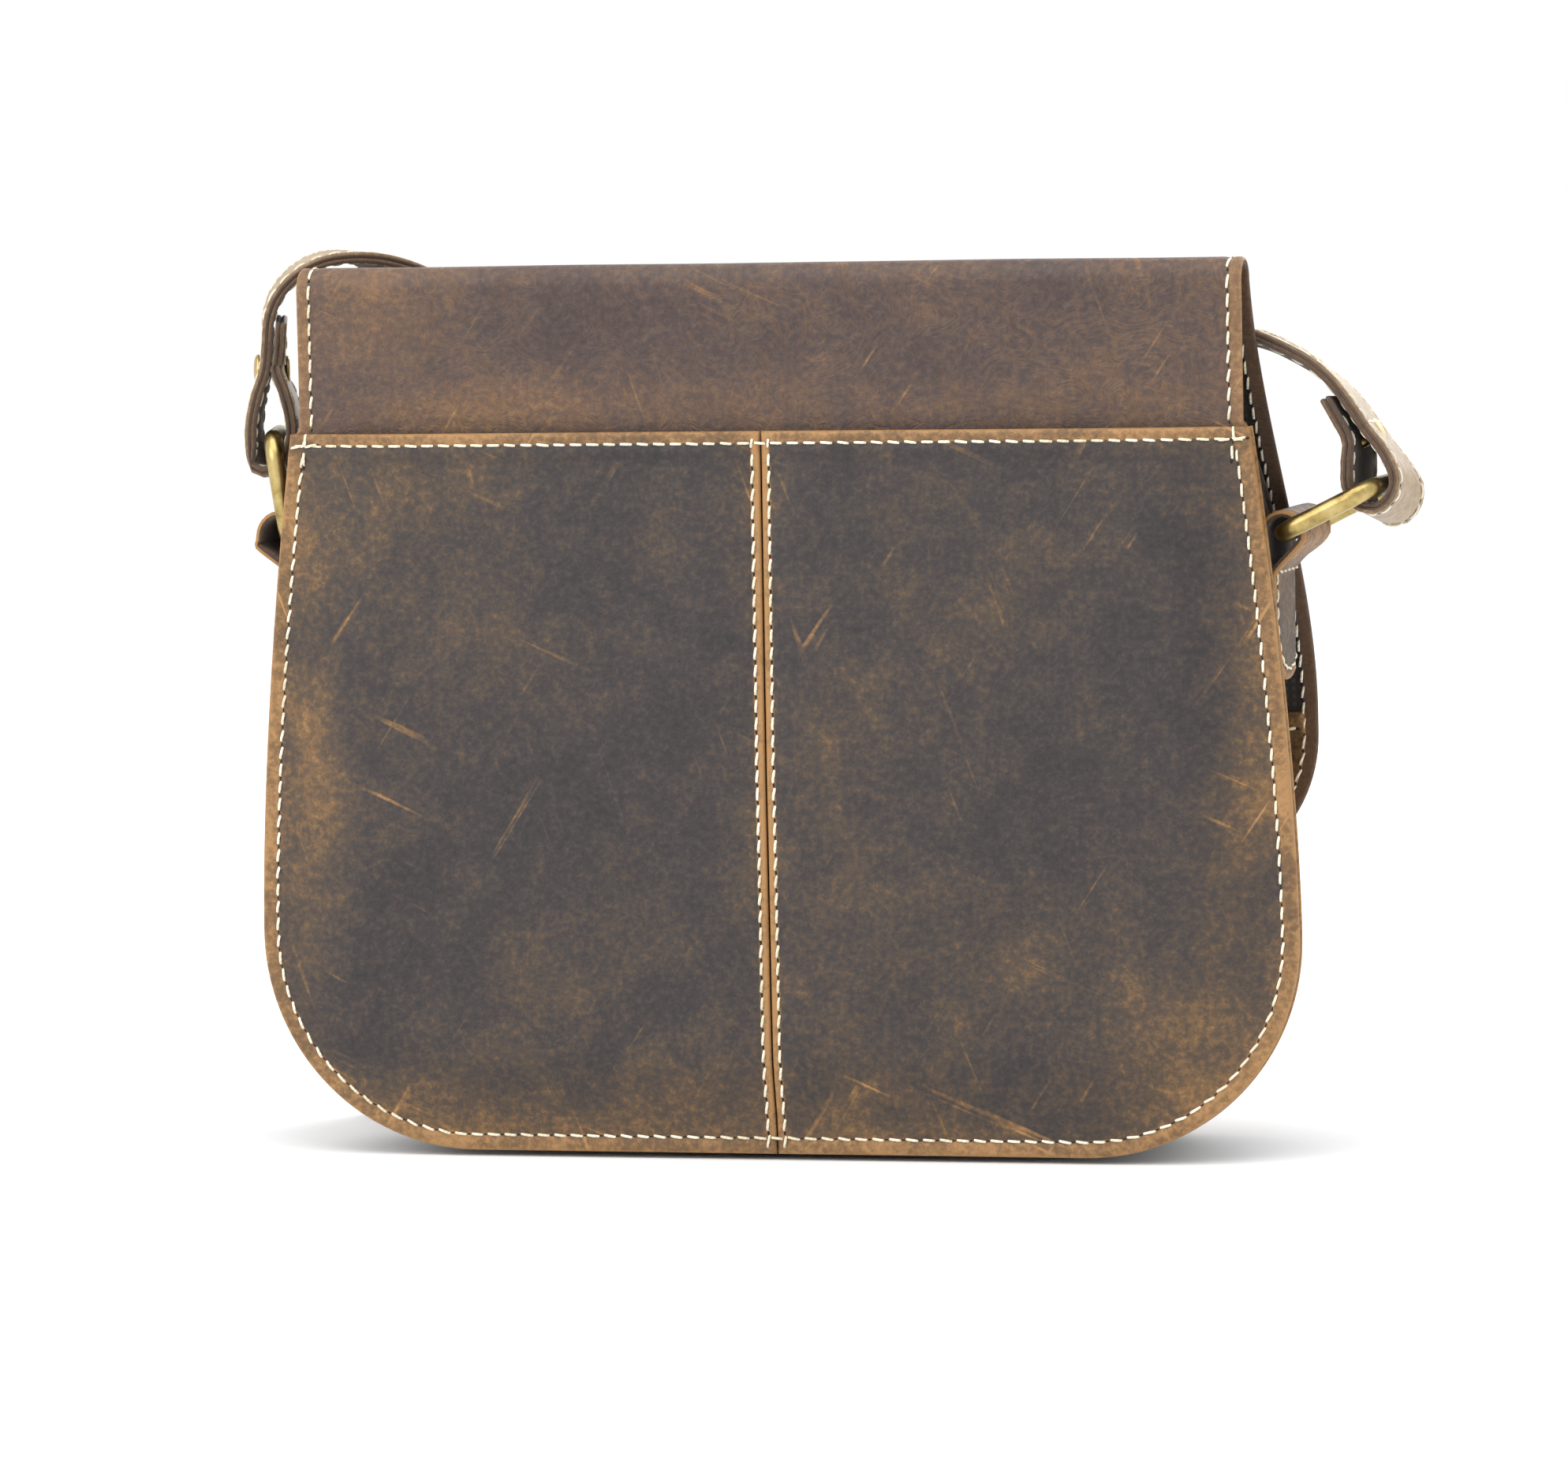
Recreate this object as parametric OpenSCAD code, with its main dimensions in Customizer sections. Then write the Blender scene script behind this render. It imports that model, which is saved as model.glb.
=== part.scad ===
// Leather cross-body saddle bag: a rounded body with a gusset, a fold-over flap with a magnetic snap,
// a slip pocket on the back, and a buckled shoulder strap on two rectangular rings.
// Frame: millimetres, +Z up, the flap faces -Y, the back faces +Y. The origin is the middle of the
// back panel's straight bottom edge, which the bag stands on. "Left" is the +X side.

/* [Body] */
// Height of the body up to its mouth and the back pocket's hem
body_h = 192; // [180:1:205]
// Half the length of the straight bottom edge
base_half = 84; // [70:1:90]
// Radius of the two lower corners
corner_r = 58; // [50:1:64]
// Half width of the body at its mouth
mouth_half = 131; // [128:1:133]
// Depth of the body at its base
body_depth = 65; // [60:1:68]
// Thickness of the body leather
leather = 2; // [1.6:0.1:2.2]
// Thickness of the lining cloth
lining_t = 0.6; // [0.4:0.1:0.8]
// How far the gusset wall stands inside the panels' outline
gusset_inset = 5; // [4:0.5:7]
// How far the slip pocket stands off the back panel
pocket_gap = 5; // [4.6:0.1:7]

/* [Flap] */
// Half width of the flap at the fold
flap_top_half = 129; // [126:1:130]
// Half width of the flap at its widest
flap_half = 133; // [129:0.5:134]
// Height at which the flap's rounded bottom starts
flap_round_z = 106; // [96:1:112]
// Radius of the flap's bottom corners
flap_corner_r = 40; // [34:1:46]
// Height of the fold's centre line
fold_z = 230; // [226:1:233]
// Outer radius of the fold
fold_r = 6; // [5:0.5:8]
// Distance from the body's front to the flap's outer face
flap_stand = 6; // [5.5:0.1:7]
// Height of the leather facing inside the flap
facing_top = 112; // [105:1:120]

/* [Hardware] */
// Distance between a ring's long bars, centre to centre
ring_length = 27; // [26:0.5:28]
// Distance between a ring's side bars, centre to centre
ring_width = 40; // [39:0.5:41]
// Radius of the ring wire
ring_wire_r = 2.5; // [2:0.1:2.8]
// Radius of a snap disc
snap_r = 8.5; // [7:0.5:9]
// Height of the magnetic snap's centre
snap_z = 60; // [52:1:75]
// Radius of a rivet's head
rivet_r = 4.5; // [4:0.1:5]

/* [Strap] */
// Width of the strap
strap_w = 33; // [30:0.5:33]
// Thickness of the strap, both layers together
strap_t = 3; // [2.6:0.1:3.1]

/* [Inner pocket] */
// Length of the zip opening
zip_length = 150; // [120:1:160]
// Height of the zip above the base
zip_z = 150; // [140:1:158]

/* [Hidden] */
$fn = 48;

slack = 0.2;                        // gap between layers that lie on each other
curve_slack = 0.3;                  // the same between layers that follow the flap's curve
fit = 0.08;                         // radial running clearance of a pivot
half_leather = leather / 2;         // the back panel is centred on y = 0
body_half = base_half + corner_r;   // widest half width of the body
wide = 2 * body_half + 20;          // wider than anything, for cutting
belly_z = 112;                      // below this height the front stands straight
waist_y = -33;                      // in front of this depth the sides draw in towards the front
draw_in = 0.135;                    // share of the width that is lost at the flap's depth
flap_depth = body_depth + flap_stand;
fold_y = half_leather - fold_r;     // centre line of the fold
fold_front = -2 * fold_r + half_leather;
flap_skin = 2 * half_leather;
facing_t = 1.2;
seam_w = 8;                         // width of the gusset's turned flanges
tab_top = 148;                      // from here up the front panel is narrower than the back one
lining_inset = gusset_inset + leather + slack;
corner_steps = 10;
side_steps = 9;
profile_steps = 22;

// Colours
hide = "saddlebrown";
hide_dark = "sienna";
tan_hide = "peru";
cloth = "dimgray";
antique_brass = "darkgoldenrod";

// ---- outlines of the panels, in X and Z ----

// Half width of the body above its rounded corners
function side_half(z) =
    body_half - (body_half - mouth_half) * pow((z - corner_r) / (body_h - corner_r), 1.6);

function smooth(t) = let (c = min(1, max(0, t))) c * c * (3 - 2 * c);

// Right half of the body's outline, from the bottom up to the height top, moved inwards by inset
// and, towards the top, by taper more
function body_half_outline(inset, top, taper) = concat(
    [for (i = [0:corner_steps])
        let (a = -90 + 90 * i / corner_steps)
        [base_half + (corner_r - inset) * cos(a), corner_r + (corner_r - inset) * sin(a)]],
    [for (i = [1:side_steps])
        let (z = corner_r + (top - corner_r) * i / side_steps)
        [side_half(z) - inset - taper * smooth((z - corner_r) / (tab_top - corner_r)), z]]
);

function mirrored(half) = concat(half, [for (i = [len(half) - 1:-1:0]) [-half[i][0], half[i][1]]]);

module body_outline(inset, top, taper = 0) {
    polygon(mirrored(body_half_outline(inset, top, taper)));
}

// Half width of the flap above its rounded bottom
function flap_side(z) =
    flap_half - (flap_half - flap_top_half) * pow((z - flap_round_z) / (fold_z - flap_round_z), 1.8);

// The flap's bottom: a corner arc, then one wide arc through the middle
corner_sweep = 50;
flap_corner_x = flap_half - flap_corner_r;
wide_arc_x = flap_corner_x + flap_corner_r * cos(corner_sweep);
wide_arc_z = flap_round_z - flap_corner_r * sin(corner_sweep);
wide_arc_r = wide_arc_x / cos(corner_sweep);
wide_arc_centre = wide_arc_z + wide_arc_r * sin(corner_sweep);
flap_bottom = wide_arc_centre - wide_arc_r;

function flap_half_outline(inset, top) = concat(
    [for (i = [0:8])
        let (a = -90 + (90 - corner_sweep) * i / 8)
        [(wide_arc_r - inset) * cos(a), wide_arc_centre + (wide_arc_r - inset) * sin(a)]],
    [for (i = [1:6])
        let (a = -corner_sweep + corner_sweep * i / 6)
        [flap_corner_x + (flap_corner_r - inset) * cos(a), flap_round_z + (flap_corner_r - inset) * sin(a)]],
    [for (i = [1:side_steps])
        let (z = flap_round_z + (top - flap_round_z) * i / side_steps)
        [flap_side(z) - inset, z]]
);

module flap_outline(inset, top) {
    polygon(mirrored(flap_half_outline(inset, top)));
}

// ---- side profile of the front, in Y and Z ----

// Distance of the flap's outer face from y = 0 at the height z
function flap_reach(z) =
    -fold_front + (flap_depth + fold_front) * smooth((fold_z - z) / (fold_z - belly_z));

// A curved sheet across the whole width, between two offsets inwards from the flap's outer face
module front_sheet(outer, inner, low, high) {
    heights = [for (i = [0:profile_steps]) low + (high - low) * i / profile_steps];
    rotate([90, 0, 90])
        linear_extrude(height = wide, center = true)
            polygon(concat(
                [for (z = heights) [outer - flap_reach(z), z]],
                [for (i = [profile_steps:-1:0]) [inner - flap_reach(heights[i]), heights[i]]]
            ));
}

// The space between the plane y = back and the front's curve, offset inwards from the flap
module depth_space(back, inner, low, high) {
    heights = [for (i = [0:profile_steps]) low + (high - low) * i / profile_steps];
    rotate([90, 0, 90])
        linear_extrude(height = wide, center = true)
            polygon(concat(
                [for (z = heights) [inner - flap_reach(z), z]],
                [[back, high], [back, low]]
            ));
}

// An outline in X and Z made solid from y = front to y = back
module slab(front, back) {
    translate([0, back, 0])
        rotate([90, 0, 0])
            linear_extrude(height = back - front)
                children();
}

// The same for the body, from its front to y = back: its sides draw in towards the front
module body_slab(back) {
    slab(waist_y, back) children();
    translate([0, waist_y, 0])
        rotate([90, 0, 0])
            linear_extrude(height = waist_y + flap_depth, scale = [1 - draw_in, 1], slices = 1, $fn = 0)
                children();
}

// ---- body ----

module back_panel() {
    color(hide)
        union() {
            slab(-half_leather, half_leather) body_outline(0, body_h);
            translate([-flap_top_half, -half_leather, body_h])
                cube([2 * flap_top_half, leather, fold_z - slack - body_h]);
        }
}

// A pocket half: a flat sewn rim, and a face that stands off the back panel
module pocket_half(side) {
    rim = 9;
    face_back = half_leather + pocket_gap + leather;
    color(hide_dark)
        intersection() {
            union() {
                slab(half_leather, half_leather + leather) difference() {
                    body_outline(0, body_h);
                    body_outline(rim, body_h + 1);
                }
                slab(half_leather, face_back) difference() {
                    body_outline(rim - leather, body_h);
                    body_outline(rim, body_h + 1);
                }
                slab(face_back - leather, face_back) body_outline(rim - leather, body_h);
            }
            translate([side > 0 ? 0.05 : -wide, 0, -1])
                cube([wide, 2 * face_back, body_h + 10]);
        }
}

module back_pocket_left() { pocket_half(1); }
module back_pocket_right() { pocket_half(-1); }

module front_panel() {
    color(hide)
        difference() {
            intersection() {
                front_sheet(flap_stand, flap_stand + leather, 0, body_h);
                body_slab(half_leather) body_outline(0, body_h, gusset_inset);
            }
            translate([0, 0, snap_z])
                rotate([90, 0, 0])
                    cylinder(r = snap_post_r + fit, h = 2 * flap_depth);
        }
}

module seam_band(taper) {
    difference() {
        body_outline(0, body_h, taper);
        body_outline(seam_w, body_h + 1);
    }
}

// The strip round the sides and bottom: a wall with a flange turned out along each panel
module main_gusset() {
    front_inner = flap_stand + leather;
    color(hide_dark)
        union() {
            intersection() {
                body_slab(-half_leather) difference() {
                    body_outline(gusset_inset, body_h);
                    body_outline(gusset_inset + leather, body_h + 1);
                }
                depth_space(-half_leather, front_inner, 0, body_h);
            }
            intersection() {
                slab(-half_leather - leather, -half_leather) seam_band(0);
                depth_space(-half_leather, front_inner, 0, body_h);
            }
            intersection() {
                body_slab(-half_leather) seam_band(gusset_inset);
                front_sheet(front_inner, front_inner + leather, 0, body_h);
            }
        }
}

lining_back = -half_leather - leather - slack;
lining_front = flap_stand + 2 * leather + slack;

module body_lining() {
    color(cloth)
        difference() {
            intersection() {
                body_slab(lining_back) body_outline(lining_inset, body_h - 2);
                depth_space(lining_back, lining_front, 0, body_h);
            }
            intersection() {
                body_slab(lining_back - lining_t) body_outline(lining_inset + lining_t, body_h);
                depth_space(lining_back - lining_t, lining_front + lining_t, 0, body_h);
            }
        }
}

// ---- flap ----

// The half round of leather where the back panel turns over into the flap
module flap_fold() {
    color(hide)
        translate([0, fold_y, fold_z])
            rotate([0, 90, 0])
                difference() {
                    cylinder(r = fold_r, h = 2 * flap_top_half, center = true);
                    cylinder(r = fold_r - flap_skin, h = wide, center = true);
                    translate([0, -fold_r * 2, -wide / 2])
                        cube([fold_r * 2, fold_r * 4, wide]);
                }
}

module flap_layer(outer, inner, inset, low, high) {
    intersection() {
        front_sheet(outer, inner, low, high);
        slab(-flap_depth - 1, half_leather) flap_outline(inset, fold_z);
    }
}

module flap_shell() {
    color(hide) flap_layer(0, flap_skin, 0, flap_bottom - 1, fold_z - 0.3);
}

module flap_lining() {
    color(cloth)
        flap_layer(flap_skin + curve_slack, flap_skin + curve_slack + lining_t, 3, facing_top + slack, fold_z - 4);
}

module flap_facing() {
    color(hide_dark)
        difference() {
            flap_layer(flap_skin + curve_slack, flap_skin + facing_t, 3, flap_bottom, facing_top);
            translate([0, -flap_depth + flap_skin + washer_t + 0.1, snap_z])
                rotate([90, 0, 0])
                    cylinder(r = snap_r, h = flap_depth);
            translate([0, 0, snap_z])
                rotate([90, 0, 0])
                    cylinder(r = snap_post_r + fit, h = 2 * flap_depth);
        }
}

// ---- magnetic snap ----

snap_post_r = 2.2;
washer_t = 0.5;
stud_back = -flap_depth + flap_skin + facing_t;      // face of the flap's facing
socket_front = -body_depth;                          // face of the front panel
nub_r = 3;
nub_h = 1.5;
socket_h = 1.5;
stud_h = 0.8;

module disc(r, front, back) {
    translate([0, back, snap_z])
        rotate([90, 0, 0])
            cylinder(r = r, h = back - front);
}

module snap_stud() {
    color(antique_brass) {
        disc(snap_r, stud_back, stud_back + stud_h);
        disc(nub_r, stud_back, stud_back + stud_h + nub_h);
        disc(snap_post_r, -flap_depth + flap_skin + 0.15, stud_back);
    }
}

module snap_stud_washer() {
    color("silver")
        difference() {
            disc(snap_r - 0.5, -flap_depth + flap_skin + 0.1, -flap_depth + flap_skin + washer_t);
            disc(snap_post_r + fit, -flap_depth, 0);
        }
}

module snap_socket() {
    color(antique_brass)
        difference() {
            union() {
                disc(snap_r, socket_front - socket_h, socket_front);
                disc(snap_post_r, socket_front - socket_h, socket_front + leather + washer_t);
            }
            disc(nub_r + 1.2, socket_front - socket_h - 1, socket_front - 0.2);
        }
}

module snap_socket_washer() {
    color("silver")
        difference() {
            disc(snap_r, socket_front + leather, socket_front + leather + washer_t);
            disc(snap_post_r + fit, -flap_depth, 0);
        }
}

// ---- rings and their tabs ----

ring_y = -25;                       // middle of the tabs, rings and strap ends
pivot_z = 163.5;                    // height of a ring's lower bar
left_pivot = [140, ring_y, pivot_z];
right_pivot = [-137, ring_y, pivot_z];
left_lean = 8;                      // the left ring stands nearly upright
right_lean = -64;                   // the strap's arch pushes the right ring outwards
left_turn = 15;                     // the left ring is turned about the vertical in its loose loop
tab_w = 33;
tab_t = 4;
tab_bottom = 124;
tab_wall = side_half(tab_bottom) - gusset_inset;

// The closed rectangular ring, standing on its lower bar
module ring_wire(width, length, wire_r, bend_r) {
    straight_w = width - 2 * bend_r;
    straight_l = length - 2 * bend_r;
    for (end = [0, 1]) {
        translate([0, -straight_w / 2, end * length])
            rotate([-90, 0, 0])
                cylinder(r = wire_r, h = straight_w);
    }
    for (side = [-1, 1]) {
        translate([0, side * width / 2, bend_r])
            cylinder(r = wire_r, h = straight_l);
        for (end = [0, 1]) {
            translate([0, side * straight_w / 2, bend_r + end * straight_l])
                rotate([0, 90, 0])
                    rotate([0, 0, (end == 0 ? (side > 0 ? 0 : -90) : (side > 0 ? 90 : 180))])
                        rotate_extrude(angle = 90)
                            translate([bend_r, 0])
                                circle(r = wire_r, $fn = 24);
        }
    }
}

module ring_at(pivot, turn, lean) {
    color(antique_brass)
        translate(pivot)
            rotate([0, 0, turn])
                rotate([0, lean, 0])
                    ring_wire(ring_width, ring_length, ring_wire_r, 6);
}

module left_ring() { ring_at(left_pivot, left_turn, left_lean); }
module right_ring() { ring_at(right_pivot, 0, right_lean); }

// A tab: a doubled strip on the gusset with a rounded end, and the loop that holds a ring
module ring_tab(side, pivot, turn, loop_r, loop_wall) {
    stem_x = tab_wall + slack;
    stem_top = pivot[2] - loop_r;
    color(hide_dark)
        difference() {
            union() {
                translate([side > 0 ? stem_x : -stem_x - tab_t, 0, 0])
                    rotate([90, 0, 90])
                        linear_extrude(height = tab_t)
                            union() {
                                translate([ring_y - tab_w / 2, tab_bottom + tab_w / 2])
                                    square([tab_w, stem_top - tab_bottom - tab_w / 2 + 2]);
                                translate([ring_y, tab_bottom + tab_w / 2])
                                    circle(d = tab_w);
                            }
                translate(pivot)
                    rotate([0, 0, turn])
                        rotate([90, 0, 0])
                            cylinder(r = loop_r, h = tab_w, center = true);
            }
            translate(pivot)
                rotate([0, 0, turn])
                    rotate([90, 0, 0])
                        cylinder(r = loop_r - loop_wall, h = wide, center = true);
        }
}

module left_ring_tab() { ring_tab(1, left_pivot, left_turn / 2, 7.2, 1.9); }
module right_ring_tab() { ring_tab(-1, right_pivot, 0, 6, 1.7); }

// ---- strap ----

// A route point is [x, y, z, then the direction across the strap]
// Left piece: cut tail, loop round the ring, arch over the flap's corner, down the front, through the
// buckle, and the rounded tip
billet_route = [
    [141.7, -25, 222, -0.31, 0.95, 0],
    [142.4, -25, 214, -0.31, 0.95, 0],
    [142.6, -25, 208, -0.29, 0.96, 0],
    [139.6, -24.1, 200, -0.27, 0.96, 0],
    [138.3, -24.1, 192, -0.26, 0.97, 0],
    [140.3, -24.1, 185, -0.26, 0.97, 0],
    [145.4, -24.1, 182.4, -0.26, 0.97, 0],
    [149.4, -24.1, 186, -0.26, 0.97, 0],
    [150, -24.1, 193, -0.26, 0.97, 0],
    [148.6, -24.1, 201, -0.27, 0.96, 0],
    [146.6, -25, 208, -0.29, 0.96, 0],
    [146, -25, 215, -0.31, 0.95, 0],
    [145.4, -25, 223, -0.33, 0.94, 0],
    [142.4, -26, 230, -0.35, 0.94, 0],
    [136, -29, 236, -0.38, 0.93, 0],
    [128, -33, 238.4, -0.45, 0.89, 0],
    [119, -38, 237, -0.6, 0.8, 0],
    [112, -44, 231, -0.8, 0.6, 0],
    [108, -50, 221, -0.94, 0.34, 0],
    [107, -55, 207, -1, 0.1, 0],
    [108, -59, 190, -1, 0, 0],
    [114, -64, 165, -1, 0, 0],
    [124, -70, 143, -1, 0, 0],
    [134, -75, 127, -1, 0, 0],
    [138.5, -79.5, 113, -1, 0, -0.11],
    [139.9, -84.2, 100, -1, 0, -0.11],
    [141.3, -84.2, 88, -1, 0, -0.11],
    [142.6, -82.4, 76, -1, 0, -0.11],
    [144.4, -81.6, 60, -1, 0, -0.1],
    [146.4, -81.4, 37.5, -1, 0, -0.05]
];

// Right piece: cut tail behind the buckle, loop round the buckle's heel bar, down to the ground, round
// on its edge, up the front, and over to the right ring
long_route = [
    [143.4, -77.6, 68, -1, 0, -0.11],
    [141.8, -77.7, 83, -1, 0, -0.11],
    [140.8, -79.3, 92, -1, 0, -0.11],
    [140.1, -81, 98, -1, 0, -0.11],
    [139.7, -80, 102.4, -1, 0, -0.11],
    [139.5, -77, 104, -1, 0, -0.11],
    [139.7, -74, 102.4, -1, 0, -0.11],
    [140.1, -73.1, 98, -1, 0, -0.11],
    [140.9, -73.8, 91, -1, 0, -0.11],
    [142, -74, 81, -1, 0, -0.11],
    [142.2, -74.2, 66, -1, 0, 0],
    [140, -74.8, 48, -0.98, 0, 0.2],
    [134.5, -75.6, 30, -0.94, 0, 0.34],
    [127, -78, 14, -0.93, 0, 0.36],
    [122, -84.5, 5, -0.97, 0, 0.2],
    [119.5, -95, 1.9, -1, 0, 0],
    [117, -118, 7.6, -0.94, 0, 0.34],
    [110, -142, 14.4, -0.64, 0, 0.77],
    [95, -161, 16.9, -0.2, 0, 0.98],
    [70, -173, 16.9, 0, 0, 1],
    [40, -178, 16.9, 0, 0, 1],
    [8, -177, 16.9, 0, 0, 1],
    [-18, -169, 16.9, 0, 0, 1],
    [-39, -156, 16.9, 0.2, 0, 0.98],
    [-52, -138, 14.4, 0.64, 0, 0.77],
    [-57.5, -117, 7.6, 0.94, 0, 0.34],
    [-59, -96, 1.9, 1, 0, 0],
    [-59.5, -85.5, 4.6, 1, 0, 0.1],
    [-61, -79, 13, 0.98, 0, 0.18],
    [-64.5, -76.8, 30, 0.98, 0, 0.2],
    [-72, -76, 65, 0.98, 0, 0.21],
    [-81, -75, 105, 0.98, 0, 0.21],
    [-88, -70, 138, 0.98, 0, 0.2],
    [-93.5, -62, 166, 0.99, 0, 0.17],
    [-98, -53, 190, 1, 0, 0.05],
    [-102, -45, 205, 0.94, 0.34, 0],
    [-109, -38.5, 212.5, 0.75, 0.66, 0],
    [-118.5, -36, 214.2, 0.45, 0.89, 0.05],
    [-129, -33.5, 211.8, 0.15, 0.97, 0.12],
    [-138, -28, 208.3, 0, 0.98, 0.18],
    [-144.8, -25.8, 205, 0, 0.98, 0.18],
    [-150.3, -25, 200.3, 0, 0.98, 0.18],
    [-154.8, -25, 194.5, 0, 0.98, 0.18],
    [-158.8, -25, 188.6, 0, 0.98, 0.18],
    [-163.6, -25, 182.2, 0, 0.98, 0.18],
    [-166.5, -25, 176, 0, 0.98, 0.16],
    [-165.4, -25, 170.6, 0, 0.98, 0.16],
    [-161.5, -25, 167.4, 0, 0.98, 0.16],
    [-156.8, -25, 168.8, 0, 0.98, 0.16],
    [-154.3, -25, 174, 0, 0.98, 0.16],
    [-154.2, -25, 180.3, 0, 0.98, 0.18],
    [-153.9, -25, 186, 0, 0.98, 0.18],
    [-150.8, -25, 192, 0, 0.98, 0.18],
    [-147.4, -25, 198, 0, 0.98, 0.18]
];

function unit(v) = v / norm(v);
function place(p) = [p[0], p[1], p[2]];
function across(p) = [p[3], p[4], p[5]];

// A smooth curve through the route's points, with steps stretches between two points
function curve(a, b, c, d, t) =
    0.5 * (2 * b + (c - a) * t + (2 * a - 5 * b + 4 * c - d) * t * t + (3 * b - a - 3 * c + d) * t * t * t);
function smoothed(route, steps) =
    let (last = len(route) - 1)
    concat(
        [for (i = [0:last - 1], k = [0:steps - 1])
            curve(route[max(0, i - 1)], route[i], route[i + 1], route[min(last, i + 2)], k / steps)],
        [route[last]]
    );

// The four corners of the strap's section at the point i
function section(line, i, half_w) =
    let (
        last = len(line) - 1,
        t = unit(place(line[min(last, i + 1)]) - place(line[max(0, i - 1)])),
        w0 = across(line[i]),
        w = unit(w0 - (w0 * t) * t),
        n = cross(t, w),
        p = place(line[i])
    )
    [for (c = [[-1, -1], [1, -1], [1, 1], [-1, 1]]) p + c[0] * half_w * w + c[1] * strap_t / 2 * n];

// Sections past the last point, that close the strap in a half round
function round_end(line) =
    let (
        last = len(line) - 1,
        t = unit(place(line[last]) - place(line[last - 1])),
        w = unit(across(line[last]) - (across(line[last]) * t) * t),
        n = cross(t, w),
        p = place(line[last]),
        r = strap_w / 2
    )
    [for (a = [20, 40, 60, 75, 85], c = [[-1, -1], [1, -1], [1, 1], [-1, 1]])
        p + r * sin(a) * t + c[0] * r * cos(a) * w + c[1] * strap_t / 2 * n];

module ribbon(points) {
    count = len(points) / 4;
    polyhedron(
        points = points,
        faces = concat(
            [[0, 1, 2, 3]],
            [for (i = [0:count - 2], j = [0:3]) [4 * i + j, 4 * (i + 1) + j, 4 * (i + 1) + (j + 1) % 4]],
            [for (i = [0:count - 2], j = [0:3]) [4 * i + j, 4 * (i + 1) + (j + 1) % 4, 4 * i + (j + 1) % 4]],
            [[4 * count - 1, 4 * count - 2, 4 * count - 3, 4 * count - 4]]
        )
    );
}

module strap_billet() {
    line = smoothed(billet_route, 2);
    color(tan_hide)
        difference() {
            ribbon(concat([for (i = [0:len(line) - 1]) each section(line, i, strap_w / 2)], round_end(line)));
            at_buckle() translate([-2, -12, prong_hole_low]) cube([4, 20, prong_hole_high - prong_hole_low]);
        }
}

module strap_long() {
    line = smoothed(long_route, 2);
    color(tan_hide)
        difference() {
            ribbon([for (i = [0:len(line) - 1]) each section(line, i, strap_w / 2)]);
            at_buckle() translate([-3.2, -6.5, -6]) cube([6.4, 13, 16]);
        }
}

// ---- buckle ----

heel = [139.9, -77, 100];           // middle of the bar that holds the buckle to the strap
buckle_slant = -6.3;                // the strap hangs a little off the vertical
buckle_tip = 9;                     // the frame's far bar stands out from the flap
buckle_w = 42;
buckle_l = 26;
buckle_wire_r = 2;
prong_r = 1.4;
prong_y = -buckle_wire_r - prong_r - 0.15;
prong_hole_low = 0.5;
prong_hole_high = 14.5;

module at_buckle() {
    translate(heel)
        rotate([0, buckle_slant, 0])
            rotate([buckle_tip, 0, 0])
                children();
}

module buckle_frame() {
    color(antique_brass)
        at_buckle()
            rotate([0, 0, 90])
                ring_wire(buckle_w, buckle_l, buckle_wire_r, 4);
}

module buckle_prong() {
    eye_w = 4;
    eye_r = 4.2;
    color(antique_brass)
        at_buckle()
            difference() {
                union() {
                    rotate([0, 90, 0])
                        cylinder(r = eye_r, h = eye_w, center = true);
                    translate([0, prong_y, 0])
                        cylinder(r = prong_r, h = buckle_l + 3);
                }
                rotate([0, 90, 0])
                    cylinder(r = buckle_wire_r + fit, h = wide, center = true);
            }
}

module strap_keeper() {
    inner_w = strap_w + 1.6;
    front = -85.4;
    back = -72.4;
    wall = 1.1;
    height = 10;
    color(tan_hide)
        translate([142.6, 0, 76])
            rotate([0, buckle_slant, 0])
                difference() {
                    translate([-inner_w / 2 - wall, front - wall, -height / 2])
                        cube([inner_w + 2 * wall, back - front + 2 * wall, height]);
                    translate([-inner_w / 2, front, -height])
                        cube([inner_w, back - front, 2 * height]);
                }
}

// ---- rivets ----

// A dome head, a post and a flat back, along +X from the strap's inner face
module rivet(grip) {
    head_h = 1.8;
    back_h = 0.9;
    rotate([0, 90, 0])
        union() {
            translate([0, 0, -back_h])
                cylinder(r = rivet_r - 0.5, h = back_h);
            translate([0, 0, -back_h / 2])
                cylinder(r = 1.5, h = grip + back_h);
            translate([0, 0, grip])
                cylinder(r = rivet_r, h = head_h / 3);
            translate([0, 0, grip + head_h / 3])
                cylinder(r1 = rivet_r, r2 = rivet_r - 1.4, h = head_h * 2 / 3, $fn = 48);
        }
}

module left_strap_rivet() {
    color(antique_brass) translate([141.1, -26.2, 208]) rotate([0, 0, 17]) rivet(7.2);
}

module right_strap_rivet() {
    color(antique_brass) translate([-152.6, ring_y, 184.9]) rotate([0, 180 + 26, 0]) rivet(7.8);
}

module buckle_rivet() {
    color(antique_brass) translate([141.3, -72.5, 86.5]) rotate([0, 0, -90]) rivet(7.2);
}

// ---- inner zip pocket, on the lining's back wall ----

zip_face = lining_back - lining_t - slack;   // the lining's inner face
tape_t = 0.6;
tape_half = 14;
welt_t = 1.2;
welt_gap = 6.5;
teeth_half = 2;
teeth_t = 1.4;
slider_w = 10;
slider_t = 2.4;
slider_x = -zip_length / 2 + 9;

module zip_tape() {
    color("black")
        translate([-zip_length / 2 - 6, zip_face - tape_t, zip_z - tape_half])
            cube([zip_length + 12, tape_t, 2 * tape_half]);
}

module zip_teeth() {
    color(antique_brass)
        translate([-zip_length / 2, zip_face - tape_t - teeth_t, zip_z - teeth_half])
            cube([zip_length, teeth_t, 2 * teeth_half]);
}

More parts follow.
